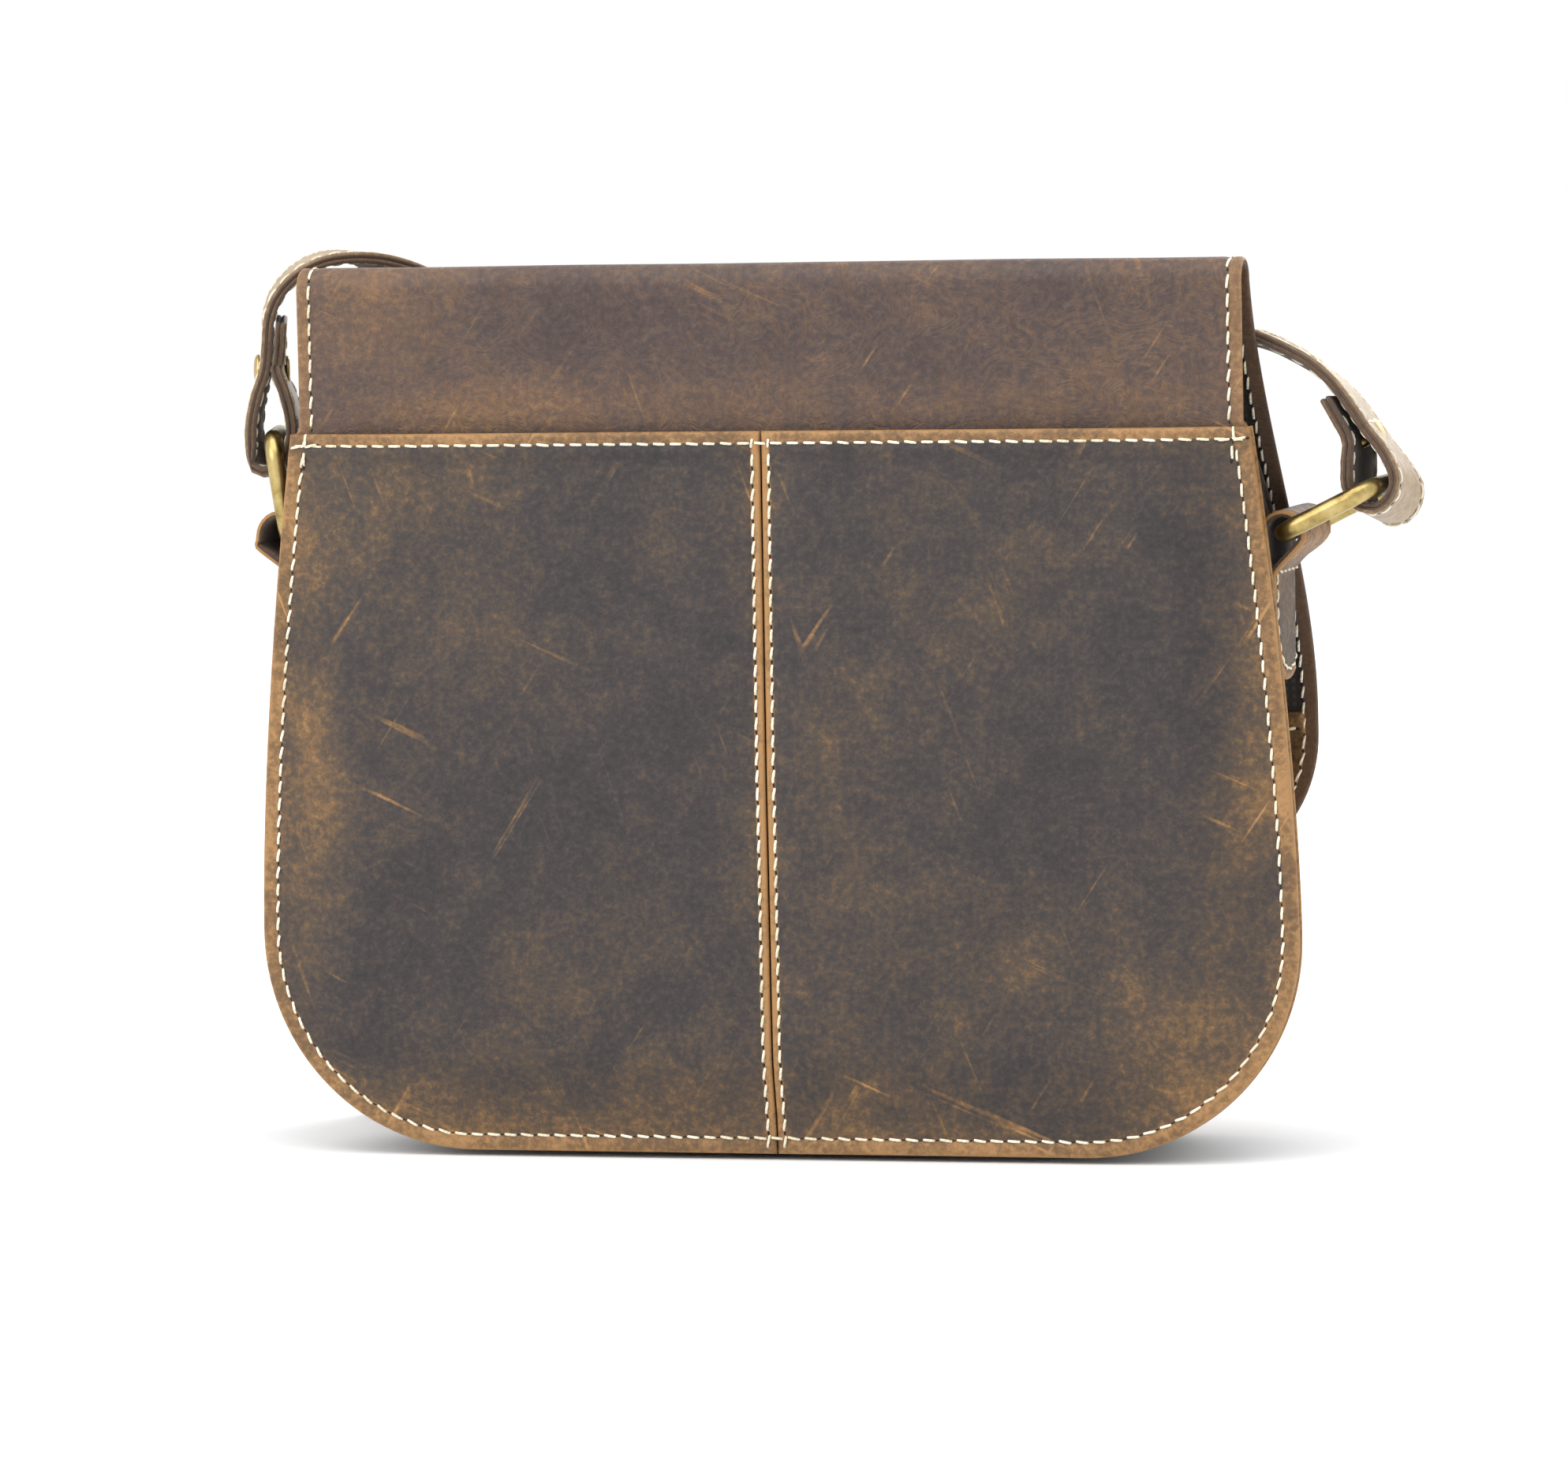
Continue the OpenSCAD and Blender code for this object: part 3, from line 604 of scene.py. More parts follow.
def leather(name, tones, patch=0.9, wrinkle=0.0, grain=0.12, shine=0.42, gloss=0.34, source="flat"):
    """Oiled pull-up leather: dark, with ochre clouds, lighter where it bends and rubs, and lighter where
    painted highlight comes in with the wear.
    """
    n = Nodes(name)
    if source == "flat":
        where = n.add("ShaderNodeAttribute", attribute_name="flat").outputs["Vector"]
        wear_and_painted_light = n.add("ShaderNodeAttribute", attribute_name="wear_and_painted_light").outputs["Fac"]
    else:
        place = n.add("ShaderNodeTexCoord").outputs["Object"]
        where = n.stretched(place, (10, 10, 10))
        wear_and_painted_light = 0.12
    cloud = n.noise(where, 1.7, 6, 0.62, 0.35)
    mottle = n.noise(where, 9.0, 9, 0.72, 0.5)
    speck = n.noise(where, 52, 5, 0.7)
    amount = n.maths("ADD", wear_and_painted_light, n.maths("MULTIPLY", n.span(cloud, 0.40, 0.70), 0.28 * patch))
    amount = n.maths("ADD", amount, n.maths("MULTIPLY", n.span(mottle, 0.43, 0.72), 0.25 * patch))
    amount = n.maths("ADD", amount, n.maths("MULTIPLY", n.span(speck, 0.42, 0.72), 0.3))
    fibres = n.noise(n.stretched(where, (60, 9, 1)), 1.0, 3, 0.6)
    amount = n.maths("ADD", amount, n.maths("MULTIPLY", n.span(fibres, 0.4, 0.7), 0.025))
    rubbed = scratches(n, where, 0.35, 38)
    for turn, scale in ((1.15, 34), (2.55, 36)):
        rubbed = n.maths("MAXIMUM", rubbed, scratches(n, where, turn, scale))
    amount = n.maths("ADD", amount, n.maths("MULTIPLY", rubbed, 0.42), clamp=True)
    colour = n.ramp(amount, list(zip((0.0, 0.26, 0.46, 0.68, 0.92), tones)))
    pores = n.add("ShaderNodeTexVoronoi", {"Vector": where, "Scale": 92.0}).outputs["Distance"]
    relief = n.maths("ADD", n.maths("MULTIPLY", pores, 0.35), n.maths("MULTIPLY", speck, 0.8))
    relief = n.maths("ADD", relief, n.maths("MULTIPLY", mottle, 1.3))
    relief = n.maths("SUBTRACT", relief, n.maths("MULTIPLY", rubbed, 0.5))
    if wrinkle:
        bent = n.noise(where, 3.2, 2)
        wavy = n.add("ShaderNodeVectorMath", {0: where, 1: bent}, operation="ADD").outputs["Vector"]
        folds = n.noise(n.stretched(wavy, (3.4, 26, 1)), 1.0, 5, 0.62, 0.3)
        crease = n.span(n.maths("ABSOLUTE", n.maths("SUBTRACT", folds, 0.5)), 0.0, 0.045, 1.0, 0.0)
        crease = n.maths("MULTIPLY", crease, n.span(cloud, 0.35, 0.6))
        relief = n.maths("SUBTRACT", relief, n.maths("MULTIPLY", crease, wrinkle))
        colour = n.mix(n.maths("MULTIPLY", crease, 0.33 * min(1.0, wrinkle)), colour, tones[3])
    normal = n.bump(relief, grain * 2.6, 0.0008)
    rough = n.span(n.maths("ADD", mottle, speck), 0.6, 1.4, shine + 0.1, shine - 0.06)
    return n.finish(colour, rough, normal, Specular_IOR_Level=gloss, Coat_Weight=0.03, Coat_Roughness=0.35)


def suede(name, dark, light):
    """The flesh side and cut edge of leather."""
    n = Nodes(name)
    where = n.add("ShaderNodeAttribute", attribute_name="flat").outputs["Vector"]
    nap = n.noise(where, 60, 6, 0.7)
    cloud = n.noise(where, 5, 4, 0.6)
    colour = n.ramp(n.maths("ADD", n.maths("MULTIPLY", nap, 0.6), n.maths("MULTIPLY", cloud, 0.4)),
                    [(0.3, dark), (0.7, light)])
    return n.finish(colour, 0.92, n.bump(nap, 0.8, 0.001), Sheen_Weight=0.25, Sheen_Roughness=0.5)


def brass():
    """Antique brass: satin, darker in its pits, brighter where it is rubbed."""
    n = Nodes("antique_brass")
    place = n.add("ShaderNodeTexCoord").outputs["Object"]
    cloud = n.noise(place, 160, 5, 0.6)
    fine = n.noise(place, 900, 4, 0.6)
    lines = n.noise(n.stretched(place, (2200, 300, 2200)), 1.0, 2)
    colour = n.ramp(cloud, [(0.25, tone(116, 98, 58)), (0.5, tone(176, 154, 98)), (0.8, tone(206, 188, 138))])
    rough = n.span(n.maths("ADD", cloud, fine), 0.7, 1.4, 0.27, 0.42)
    height = n.maths("ADD", fine, n.maths("MULTIPLY", lines, 0.6))
    return n.finish(colour, rough, n.bump(height, 0.12, 0.0002), Metallic=1.0)


def plain_steel():
    n = Nodes("washer_steel")
    place = n.add("ShaderNodeTexCoord").outputs["Object"]
    rings = n.noise(place, 700, 3)
    return n.finish(n.ramp(rings, [(0.3, tone(120, 120, 118)), (0.7, tone(170, 170, 166))]), 0.38,
                    n.bump(rings, 0.15, 0.0002), Metallic=1.0)


def thread():
    n = Nodes("cream_thread")
    place = n.add("ShaderNodeTexCoord").outputs["Object"]
    ply = n.add("ShaderNodeTexWave", {"Vector": place, "Scale": 420.0, "Distortion": 1.0},
                bands_direction="DIAGONAL").outputs["Fac"]
    soil = n.noise(place, 35, 4)
    creams = [(0.3, tone(206, 192, 160)), (0.55, tone(238, 229, 206)), (0.8, tone(246, 240, 224))]
    colour = n.ramp(soil, creams)
    return n.finish(colour, 0.7, n.bump(ply, 0.5, 0.0003), Sheen_Weight=0.2)


# Dark colour that paints the shade inside stitch holes and punched holes.
def needle_hole_shade():
    n = Nodes("needle_hole_shade")
    place = n.add("ShaderNodeTexCoord").outputs["Object"]
    return n.finish(n.ramp(n.noise(place, 500), [(0.3, tone(24, 17, 12)), (0.7, tone(48, 33, 22))]), 0.9)


def woven(name, dark, light, scale=150.0):
    """Plain weave cloth; the threads are crossed waves."""
    n = Nodes(name)
    place = n.add("ShaderNodeTexCoord").outputs["Object"]
    warp = n.add("ShaderNodeTexWave", {"Vector": place, "Scale": scale, "Distortion": 0.4},
                 bands_direction="X").outputs["Fac"]
    weft = n.add("ShaderNodeTexWave", {"Vector": place, "Scale": scale, "Distortion": 0.4},
                 bands_direction="Z").outputs["Fac"]
    weave = n.maths("MULTIPLY", warp, weft)
    cloud = n.noise(place, 30, 4)
    colour = n.ramp(n.maths("ADD", n.maths("MULTIPLY", weave, 0.5), n.maths("MULTIPLY", cloud, 0.5)),
                    [(0.2, dark), (0.8, light)])
    return n.finish(colour, 0.88, n.bump(weave, 0.5, 0.0004), Sheen_Weight=0.3, Sheen_Roughness=0.4)


POCKET_TONES = [tone(36, 32, 33), tone(54, 47, 45), tone(77, 62, 48), tone(114, 85, 53), tone(157, 118, 74)]
UPPER_TONES = [tone(50, 39, 39), tone(70, 56, 52), tone(92, 70, 55), tone(121, 90, 60), tone(158, 122, 84)]
TAN_TONES = [tone(96, 74, 52), tone(124, 100, 74), tone(150, 126, 94), tone(172, 148, 114),
             tone(196, 174, 142)]
POCKET_LEATHER = leather("pocket_leather", POCKET_TONES)
UPPER_LEATHER = leather("upper_leather", UPPER_TONES, patch=0.6, wrinkle=1.6)
GUSSET_LEATHER = leather("gusset_leather", POCKET_TONES, patch=1.0, shine=0.5, gloss=0.12)
STRAP_LEATHER = leather("strap_leather", TAN_TONES, patch=0.9, grain=0.08, shine=0.4)
SOLID_LEATHER = leather("small_leather", POCKET_TONES, source="place")
STRAP_SOLID = leather("keeper_leather", TAN_TONES, source="place")
FLESH = suede("flesh_side", tone(58, 40, 26), tone(112, 80, 50))
BRASS = brass()
STEEL = plain_steel()
THREAD = thread()
HOLE_SHADE = needle_hole_shade()
LINING = woven("lining_cloth", tone(34, 29, 26), tone(66, 57, 50))
TAPE = woven("zip_tape_weave", tone(12, 12, 12), tone(34, 34, 34), 260.0)


# ---- camera, light and floor ----

def make_camera():
    """The view that shows the back, the fold and the side at -X."""
    azimuth, elevation = math.radians(195.3), math.radians(4.6)
    away = Vector((math.sin(azimuth) * math.cos(elevation), -math.cos(azimuth) * math.cos(elevation),
                   math.sin(elevation)))
    data = bpy.data.cameras.new("camera")
    data.lens = 199.8
    data.sensor_width = 36.0
    camera = bpy.data.objects.new("camera", data)
    camera.location = Vector((-0.0035, 0, 0.1121)) + away * 2.3
    roll = Matrix.Rotation(math.radians(-1.2), 4, "Z")
    camera.matrix_world = (Matrix.Translation(camera.location)
                           @ (-away).to_track_quat("-Z", "Y").to_matrix().to_4x4() @ roll)
    data.clip_end = 50
    bpy.context.scene.collection.objects.link(camera)
    bpy.context.scene.camera = camera


def area_light(name, place, target, size, power):
    data = bpy.data.lights.new(name, "AREA")
    data.shape = "RECTANGLE"
    data.size, data.size_y = size
    data.energy = power
    light = bpy.data.objects.new(name, data)
    light.location = place
    light.rotation_euler = (Vector(target) - Vector(place)).to_track_quat("-Z", "Y").to_euler()
    bpy.context.scene.collection.objects.link(light)


def make_studio():
    world = bpy.data.worlds.new("studio")
    world.use_nodes = True
    world.node_tree.nodes["Background"].inputs["Color"].default_value = (1, 1, 1, 1)
    world.node_tree.nodes["Background"].inputs["Strength"].default_value = 1.1
    bpy.context.scene.world = world
    area_light("overhead", (0.1, 0.5, 1.5), (0, 0, 0.1), (1.6, 1.2), 14)
    area_light("camera_side", (0.9, 1.5, 0.9), (0, 0, 0.1), (1.2, 1.0), 10)
    area_light("flap_side", (-0.4, -1.6, 0.9), (0, 0, 0.1), (1.2, 1.0), 9)
    floor_z = cad_box[0].z
    size = 40.0
    mesh = bpy.data.meshes.new("floor")
    corners = [(-size, -size, floor_z), (size, -size, floor_z), (size, size, floor_z), (-size, size, floor_z)]
    mesh.from_pydata(corners, [], [(0, 1, 2, 3)])
    n = Nodes("floor_paper")
    place = n.add("ShaderNodeTexCoord").outputs["Object"]
    n.finish(n.ramp(n.noise(place, 3), [(0.3, (0.9, 0.91, 0.915)), (0.7, (0.92, 0.925, 0.93))]), 0.85)
    mesh.materials.append(n.material)
    floor = bpy.data.objects.new("floor", mesh)
    bpy.context.scene.collection.objects.link(floor)
    bpy.context.scene.view_settings.view_transform = "Standard"


# ---- leather panels ----

def centre_line(low, high):
    """A spine for a symmetrical sheet: the middle line between two heights."""
    def spine(_, v):
        return (0.0, min(high, max(low, v)))
    return spine


def seam_dip(*lines):
    """The leather sinks a little along each stitch line."""
    def relief(_u, _v, d):
        return sum(-0.28 * bell(d, line, 0.95) for line in lines)
    return relief


def edge_wear(edge=0.62, fade=9.0, base=0.02):
    """Lighter from the edge to the stitches, then fading inwards."""
    def wear(_u, _v, d):
        if d < SEAM:
            return edge + 0.22 * (1 - min(1.0, d))
        return base + (edge * 0.5 - base) * math.exp(-(d - SEAM) / fade)
    return wear


def hide_outline():
    """The outline of back panel, fold and flap laid out flat: x, and length from the base over the fold."""
    half = body_half_outline(0.3, BODY_H - 1)
    for v in steps(BODY_H + 1.5, FOLD_Z, 2.4):
        half.append((FLAP_TOP_HALF, v))
    for v in steps(FOLD_Z, FLAP_START, 0.9):
        half.append((FLAP_TOP_HALF, v))
    for x, z in reversed(flap_half_outline(0, FOLD_Z)):
        half.append((x, flap_length(z)))
    return half


def hide_wear(u, v, d):
    """Ochre by the pocket's hem and at the ends of the fold, dark and wrinkled between."""
    if d < FLAP_SEAM:
        return 0.5 + 0.2 * (1 - min(1.0, d))
    hem = 0.24 * bell(v, BODY_H + 6, 9) * (0.5 + 0.5 * bell(u, 60, 70))
    crown = 0.14 * bell(v, FOLD_Z + 8, 7)
    left_end = 0.26 * bell(u, 118, 26) * bell(v, 222, 26)
    rim = 0.16 * math.exp(-(d - FLAP_SEAM) / 7)
    low_flap = 0.22 * smooth((v - FLAP_START - 90) / 120)
    return 0.05 + max(hem, left_end, rim) + crown + low_flap


def make_hide():
    outline = mirrored(hide_outline())
    end = max(v for _, v in outline)
    hide = leaf("back_and_flap_leather", outline, hide_place, LEATHER, centre_line(95, end - 115),
                [UPPER_LEATHER, FLESH], relief=seam_dip(FLAP_SEAM), wear=hide_wear, inner=20)
    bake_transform(hide)
    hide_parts("back_panel", "flap_fold", "flap_shell")
    back_rows, flap_rows = [], []
    for side in (1, -1):
        x = side * (FLAP_TOP_HALF - FLAP_SEAM)
        back_rows.append(([(x, BODY_H + 1), (x, FOLD_Z + 2)], hide_place, STITCH_FACE, 1))
    seam = both_sides([(x, flap_length(z)) for x, z in flap_half_outline(FLAP_SEAM, FOLD_Z - 3)])
    flap_rows.append((seam, hide_place, STITCH_FACE, 1))
    flap_rows.append((seam, hide_place, LEATHER / 2 + 1.25, -1))
    sew("back_edge_stitching", back_rows, "body")
    sew("flap_stitching", flap_rows, "flap")
    fold_rows = []
    for side in (1, -1):
        x = side * (FLAP_TOP_HALF - FLAP_SEAM)
        fold_rows.append(([(x, FOLD_Z + 2.5), (x, FLAP_START)], hide_place, STITCH_FACE, 1))
    fold = sew("fold_stitching", fold_rows, "body")
    fold.parent = None
    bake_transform(fold)


def pocket_half_outline(side):
    """One half of the back pocket: the side's outline, and a straight edge at the middle seam."""
    edge = 0.18
    right = [p for p in body_half_outline(0, BODY_H) if p[0] > edge]
    points = [(edge, 0.0)] + right
    points += [(x, BODY_H) for x in steps(right[-1][0], edge, 3.0)[1:]]
    points += [(edge, z) for z in steps(BODY_H, 0, 3.0)]
    if side < 0:
        points = [(-x, z) for x, z in reversed(points)]
    return points


# Clouds of ochre wear on the pocket; the narrow ones by the side edges (x = 124, -128) are painted highlight
# bands: x, z, half width, half height, amount
POCKET_CLOUDS_AND_LIT_BANDS = (
    (124, 95, 9, 50, 0.27), (112, 160, 26, 22, 0.12), (60, 10, 60, 14, 0.2), (-20, 40, 16, 60, 0.15),
    (-60, 60, 24, 22, 0.1), (-112, 30, 22, 24, 0.24), (75, 178, 50, 9, 0.05), (-40, 120, 22, 40, 0.08),
    (58, 55, 26, 26, 0.1), (-128, 110, 8, 60, 0.14), (20, 15, 20, 16, 0.18), (60, 130, 30, 20, 0.04))


# Pocket colour amount: wear at the rim, the middle seam and the hem, ochre clouds, and painted highlight in
# bands by the side edges and just inside the rim stitches.
def pocket_wear_and_painted_light(u, v, d):
    rim = rim_distance(u, v)
    if rim < SEAM:
        return 0.5 + 0.22 * (1 - min(1.0, rim))
    if abs(u) < CENTRE_SEAM:
        return 0.62 + 0.12 * (1 - abs(u) / CENTRE_SEAM)
    if v > BODY_H - HEM_SEAM:
        return 0.46 + 0.2 * smooth((v - BODY_H + 1) / 1.0)
    clouds_and_lit_bands = sum(a * bell(u, x, w) * bell(v, z, h) for x, z, w, h, a in POCKET_CLOUDS_AND_LIT_BANDS)
    # the term that fades in from the rim stitches is a painted highlight band
    return clouds_and_lit_bands + 0.2 * math.exp(-(rim - SEAM) / 5) + 0.1 * math.exp(-(abs(u) - CENTRE_SEAM) / 2.5)


def pocket_relief(u, v, _d):
    """Dips along the three stitch lines; the hem above its stitches is a double thickness."""
    dips = bell(rim_distance(u, v), SEAM, 0.95) + bell(abs(u), CENTRE_SEAM, 0.8)
    dips += 0.8 * bell(v, BODY_H - HEM_SEAM, 0.9)
    hem = HEM_RISE * smooth((v - BODY_H + 7) / 1.2)
    return hem - 0.28 * dips


def make_pocket():
    place = field_place(pocket_depth, 1)
    for side, node in ((1, "back_pocket_left"), (-1, "back_pocket_right")):
        middle = (side * BODY_HALF / 2, BODY_H * 0.5)
        half = leaf(node + "_leather", pocket_half_outline(side), place, LEATHER, lambda _u, _v, m=middle: m,
                    [POCKET_LEATHER, FLESH], relief=pocket_relief, wear=pocket_wear_and_painted_light, inner=22)
        settle(half, "body", "hide", node)
    rim = both_sides(body_half_outline(SEAM, BODY_H - 0.5))
    hem_x = side_half(BODY_H) - 0.8
    sew("pocket_rim_stitching", [(rim, place, STITCH_FACE, 1)], "body")
    hem = [(-hem_x, BODY_H - HEM_SEAM), (hem_x, BODY_H - HEM_SEAM)]
    sew("pocket_hem_stitching", [(hem, place, STITCH_FACE + HEM_RISE, 1)], "body", slant=4)
    centre = []
    for x in (CENTRE_SEAM, -CENTRE_SEAM):
        centre.append(([(x, 1.0), (x, BODY_H - 0.6)], place, STITCH_FACE + 0.05, 1))
    sew("pocket_centre_stitching", centre, "body")
    knots = []
    for s in (1, -1):
        x = s * (side_half(BODY_H) - SEAM)
        knots.append(([(x + 0.5, BODY_H - 9), (x - 0.5, BODY_H + 0.5)], place, STITCH_FACE + 0.5, 1))
        knots.append(([(x - 4, BODY_H - 3.0), (x + 4.4, BODY_H - 3.5)], place, STITCH_FACE + 0.8, 1))
    sew("pocket_corner_tacks", knots, "body", slant=-6)


def make_front():
    flat_front = field_place(front_depth, -1)

    def place(u, v, h):
        return drawn_in(flat_front(u, v, h))

    outline = body_outline(0.2, BODY_H, GUSSET_INSET)
    front = leaf("front_leather", outline, place, LEATHER, centre_line(80, 130), [UPPER_LEATHER, FLESH],
                 relief=seam_dip(SEAM), wear=edge_wear(), inner=20)
    settle(front, "body", "hide", "front_panel")
    rim = both_sides(body_half_outline(SEAM, BODY_H - 1, GUSSET_INSET))
    hem = side_half(BODY_H) - GUSSET_INSET - 4
    hem_line = [(-hem, BODY_H - 3.5), (hem, BODY_H - 3.5)]
    sew("front_stitching", [(rim, place, STITCH_FACE, 1), (hem_line, place, STITCH_FACE, 1)], "body")


# ---- gusset ----

def gusset_line():
    """The body's outline as a path with the outward direction across it."""
    points = [Vector((x, 0, z)) for x, z in both_sides(body_half_outline(0, BODY_H))]
    return Path(points, [Vector((0, 1, 0))] * len(points))


GUSSET = gusset_line()
FLANGE = 7.2              # width of the flange sewn to each panel
GUSSET_BACK = -LEATHER    # middle of the back flange
BEND_R = 1.6              # radius of the bend from wall to flange
MAX_SLUMP = 3.4


def gusset_depth(z):
    """Distance between the middles of the two flanges."""
    return reach(z) - FRONT_OFFSET - 3 * LEATHER / 2 + GUSSET_BACK


def gusset_wall_depth(share, depth):
    """How far behind the front flange the wall has come at a share of its way."""
    if depth < 4 * BEND_R:
        eased = min(1.0, max(0.0, (share - 0.5) * 1.12 + 0.5))
        return depth * (0.5 - 0.5 * math.cos(math.pi * eased))
    return min(depth, max(0.0, share * (depth + 1.2) - 0.6))


def gusset_slump(share, depth, z):
    """How far the soft wall sinks inwards, with a standing crease in its upper part."""
    sag = 2.4 * smooth(depth / 50) * math.sin(math.pi * share) * smooth(z / 40)
    crease = 0.8 * bell(share, 0.42 + 0.1 * math.sin(z / 25), 0.09) * smooth((z - 110) / 60)
    return sag + crease


def gusset_place(u, v, h):
    """u runs from the front flange's edge over the wall to the back flange's edge."""
    p, _, _, outward = GUSSET.at(v)
    if outward.dot(Vector((p.x, 0, p.z - BODY_H / 2))) < 0:
        outward = -outward
    depth = gusset_depth(p.z)
    wall = GUSSET_INSET + LEATHER / 2
    from_front = u + depth / 2 + FLANGE
    from_back = 2 * FLANGE + depth - from_front
    flat = FLANGE - 0.6
    if from_front < flat:
        inside, y, facing = from_front, 0.0, Vector((0, -1, 0))
    elif from_back < flat:
        inside, y, facing = from_back, depth, Vector((0, 1, 0))
    else:
        share = (from_front - flat) / (2 * FLANGE + depth - 2 * flat)
        y = gusset_wall_depth(share, depth)
        bend = max(0.0, BEND_R - min(y, depth - y))
        inside = wall - 0.5 * bend + gusset_slump(share, depth, p.z)
        facing = outward
    inside = min(inside, wall + MAX_SLUMP)
    if u < 0 and y < depth / 2 and inside < wall:
        narrow = GUSSET_INSET * smooth((p.z - CORNER_R) / (TAPER_TOP - CORNER_R))
        inside += narrow * (1 - smooth(inside / wall))
    base = Vector((p.x, 0, p.z)) - outward * inside
    base.y = GUSSET_BACK - depth + y
    return drawn_in(base + facing * h)


def make_gusset():
    """The long strip round the sides and the base, with a flange turned out to each panel."""
    ends = GUSSET.length
    right = []
    for v in steps(0, ends, 2.6) + [ends]:
        z = GUSSET.at(v)[0].z
        right.append((gusset_depth(z) / 2 + FLANGE, v))
    top = [(x, ends) for x in steps(right[-1][0], -right[-1][0], 2.0)[1:]]
    left = [(-u, v) for u, v in reversed(right)]
    bottom = [(x, 0.0) for x in steps(-right[0][0], right[0][0], 2.0)[1:]]
    outline = right + top + left + bottom

    def spine(_u, v):
        return (0.0, min(ends - 12, max(12, v)))

    gusset = leaf("gusset_leather", outline, gusset_place, LEATHER, spine, [GUSSET_LEATHER, FLESH],
                  inset_max=5.0, inner=22, wear=edge_wear(0.5, 12, 0.06))
    settle(gusset, "body", "hide", "main_gusset")
    rows = []
    for v in (3.2, ends - 3.2):
        z = GUSSET.at(v)[0].z
        wide = gusset_depth(z) / 2 + 1
        rows.append(([(-wide, v), (wide, v)], gusset_place, LEATHER / 2, 1))
    sew("gusset_hem_stitching", rows, "body", slant=3)


# ---- linings and the flap's inner layers ----

def make_flap_inner():
    """Cloth above and a leather facing below, sewn in along the flap's edge."""
    cloth_half = [(x, z) for x, z in flap_half_outline(3.2, FOLD_Z - 5) if z > FACING_TOP + 0.5]
    half = [(x, flap_length(z)) for x, z in reversed(cloth_half)]
    low = flap_length(FACING_TOP + 0.5)
    high = half[0][1]
    outline = [(x, high) for x in steps(0, half[0][0], 3.0)] + half
    outline += [(x, low) for x in steps(half[-1][0], 0, 3.0)] + [(0.0, low)]
    cloth = leaf("flap_lining_cloth", mirrored(outline), flap_inner_place(LEATHER + 0.6), 0.6,
                 centre_line(high + 40, low - 40), [LINING], inner=16, inset_max=7.0)
    settle(cloth, "flap", "cloth", "flap_lining")
    half = [(x, z) for x, z in flap_half_outline(3.2, FACING_TOP)]
    outline = [(x, flap_length(z)) for x, z in half]
    top = outline[-1]
    outline += [(x, top[1]) for x in steps(top[0], 0, 3.0)[1:]] + [(0.0, top[1])]
    outline = [(x, v) for x, v in reversed(mirrored(outline))]

    def hem_relief(_u, v, d):
        return 1.0 * smooth((top[1] + 6 - v) / 1.0) - 0.2 * bell(d, 3.6, 0.9)

    facing = leaf("flap_facing_leather", outline, flap_inner_place(LEATHER + 0.8), 0.9,
                  centre_line(top[1] + 30, top[1] + 45), [GUSSET_LEATHER, FLESH], inner=16,
                  relief=hem_relief, wear=edge_wear(0.3, 7, 0.1))
    settle(facing, "flap", "hide", "flap_facing")
    x = FLAP_HALF - 5
    v = top[1] + 4.5
    row = ([(-x, v), (x, v)], flap_inner_place(LEATHER + 1.2), 0.95, 1)
    sew("facing_hem_stitching", [row], "flap", slant=4, width=0.45)


def make_body_lining():
    """A cloth bag that follows the walls, open at the top."""
    wall = 0.3
    rows = 46
    columns = 30
    inset = GUSSET_INSET + LEATHER + 0.8
    top = BODY_H - 2
    verts, faces = [], []
    heights = [inset + 0.5 + (top - inset) * (i / (rows - 1)) ** 1.3 for i in range(rows)]
    for z in heights:
        half = side_half(max(z, CORNER_R)) - inset
        if z < CORNER_R:
            r = CORNER_R - inset
            half = BASE_HALF + math.sqrt(max(0.0, r * r - (CORNER_R - z) ** 2))
        back = -LEATHER / 2 - LEATHER - 0.5
        front = -(reach(z) - FRONT_OFFSET - 2 * LEATHER - 0.5)
        ring = []
        for x in (half * math.cos(math.pi * i / columns) for i in range(columns)):
            ring.append((x, back - 0.25 * abs(noise.noise(Vector((x / 20, z / 24, 5.5))))))
        depth = back - front
        for i in range(8):
            ring.append((-half, back - depth * i / 8))
        for x in (-half * math.cos(math.pi * i / columns) for i in range(columns)):
            ring.append((x, front + 0.35 * abs(noise.noise(Vector((x / 20, z / 24, 9.5))))))
        for i in range(8):
            ring.append((half, front + depth * i / 8))
        verts += [drawn_in(Vector((x, y, z))) for x, y in ring]
    count = 2 * columns + 16
    for i in range(rows - 1):
        for k in range(count):
            a, b = i * count + k, i * count + (k + 1) % count
            faces.append([a, b, b + count, a + count])
    faces.append(list(range(count)))
    for loop in faces[:-1]:
        a, b, c, d = (verts[i] for i in loop)
    lining = make_object("body_lining_cloth", verts, faces, [LINING])
    face_outwards(lining)
    thickness = lining.modifiers.new("cloth", "SOLIDIFY")
    thickness.thickness = 2 * wall * MM
    thickness.offset = -1
    settle(lining, "body", "cloth", "body_lining")


# ---- rings' tabs ----

LEFT_PIVOT_X = 140.0      # how far out each ring's lower bar is
RIGHT_PIVOT_X = 137.0


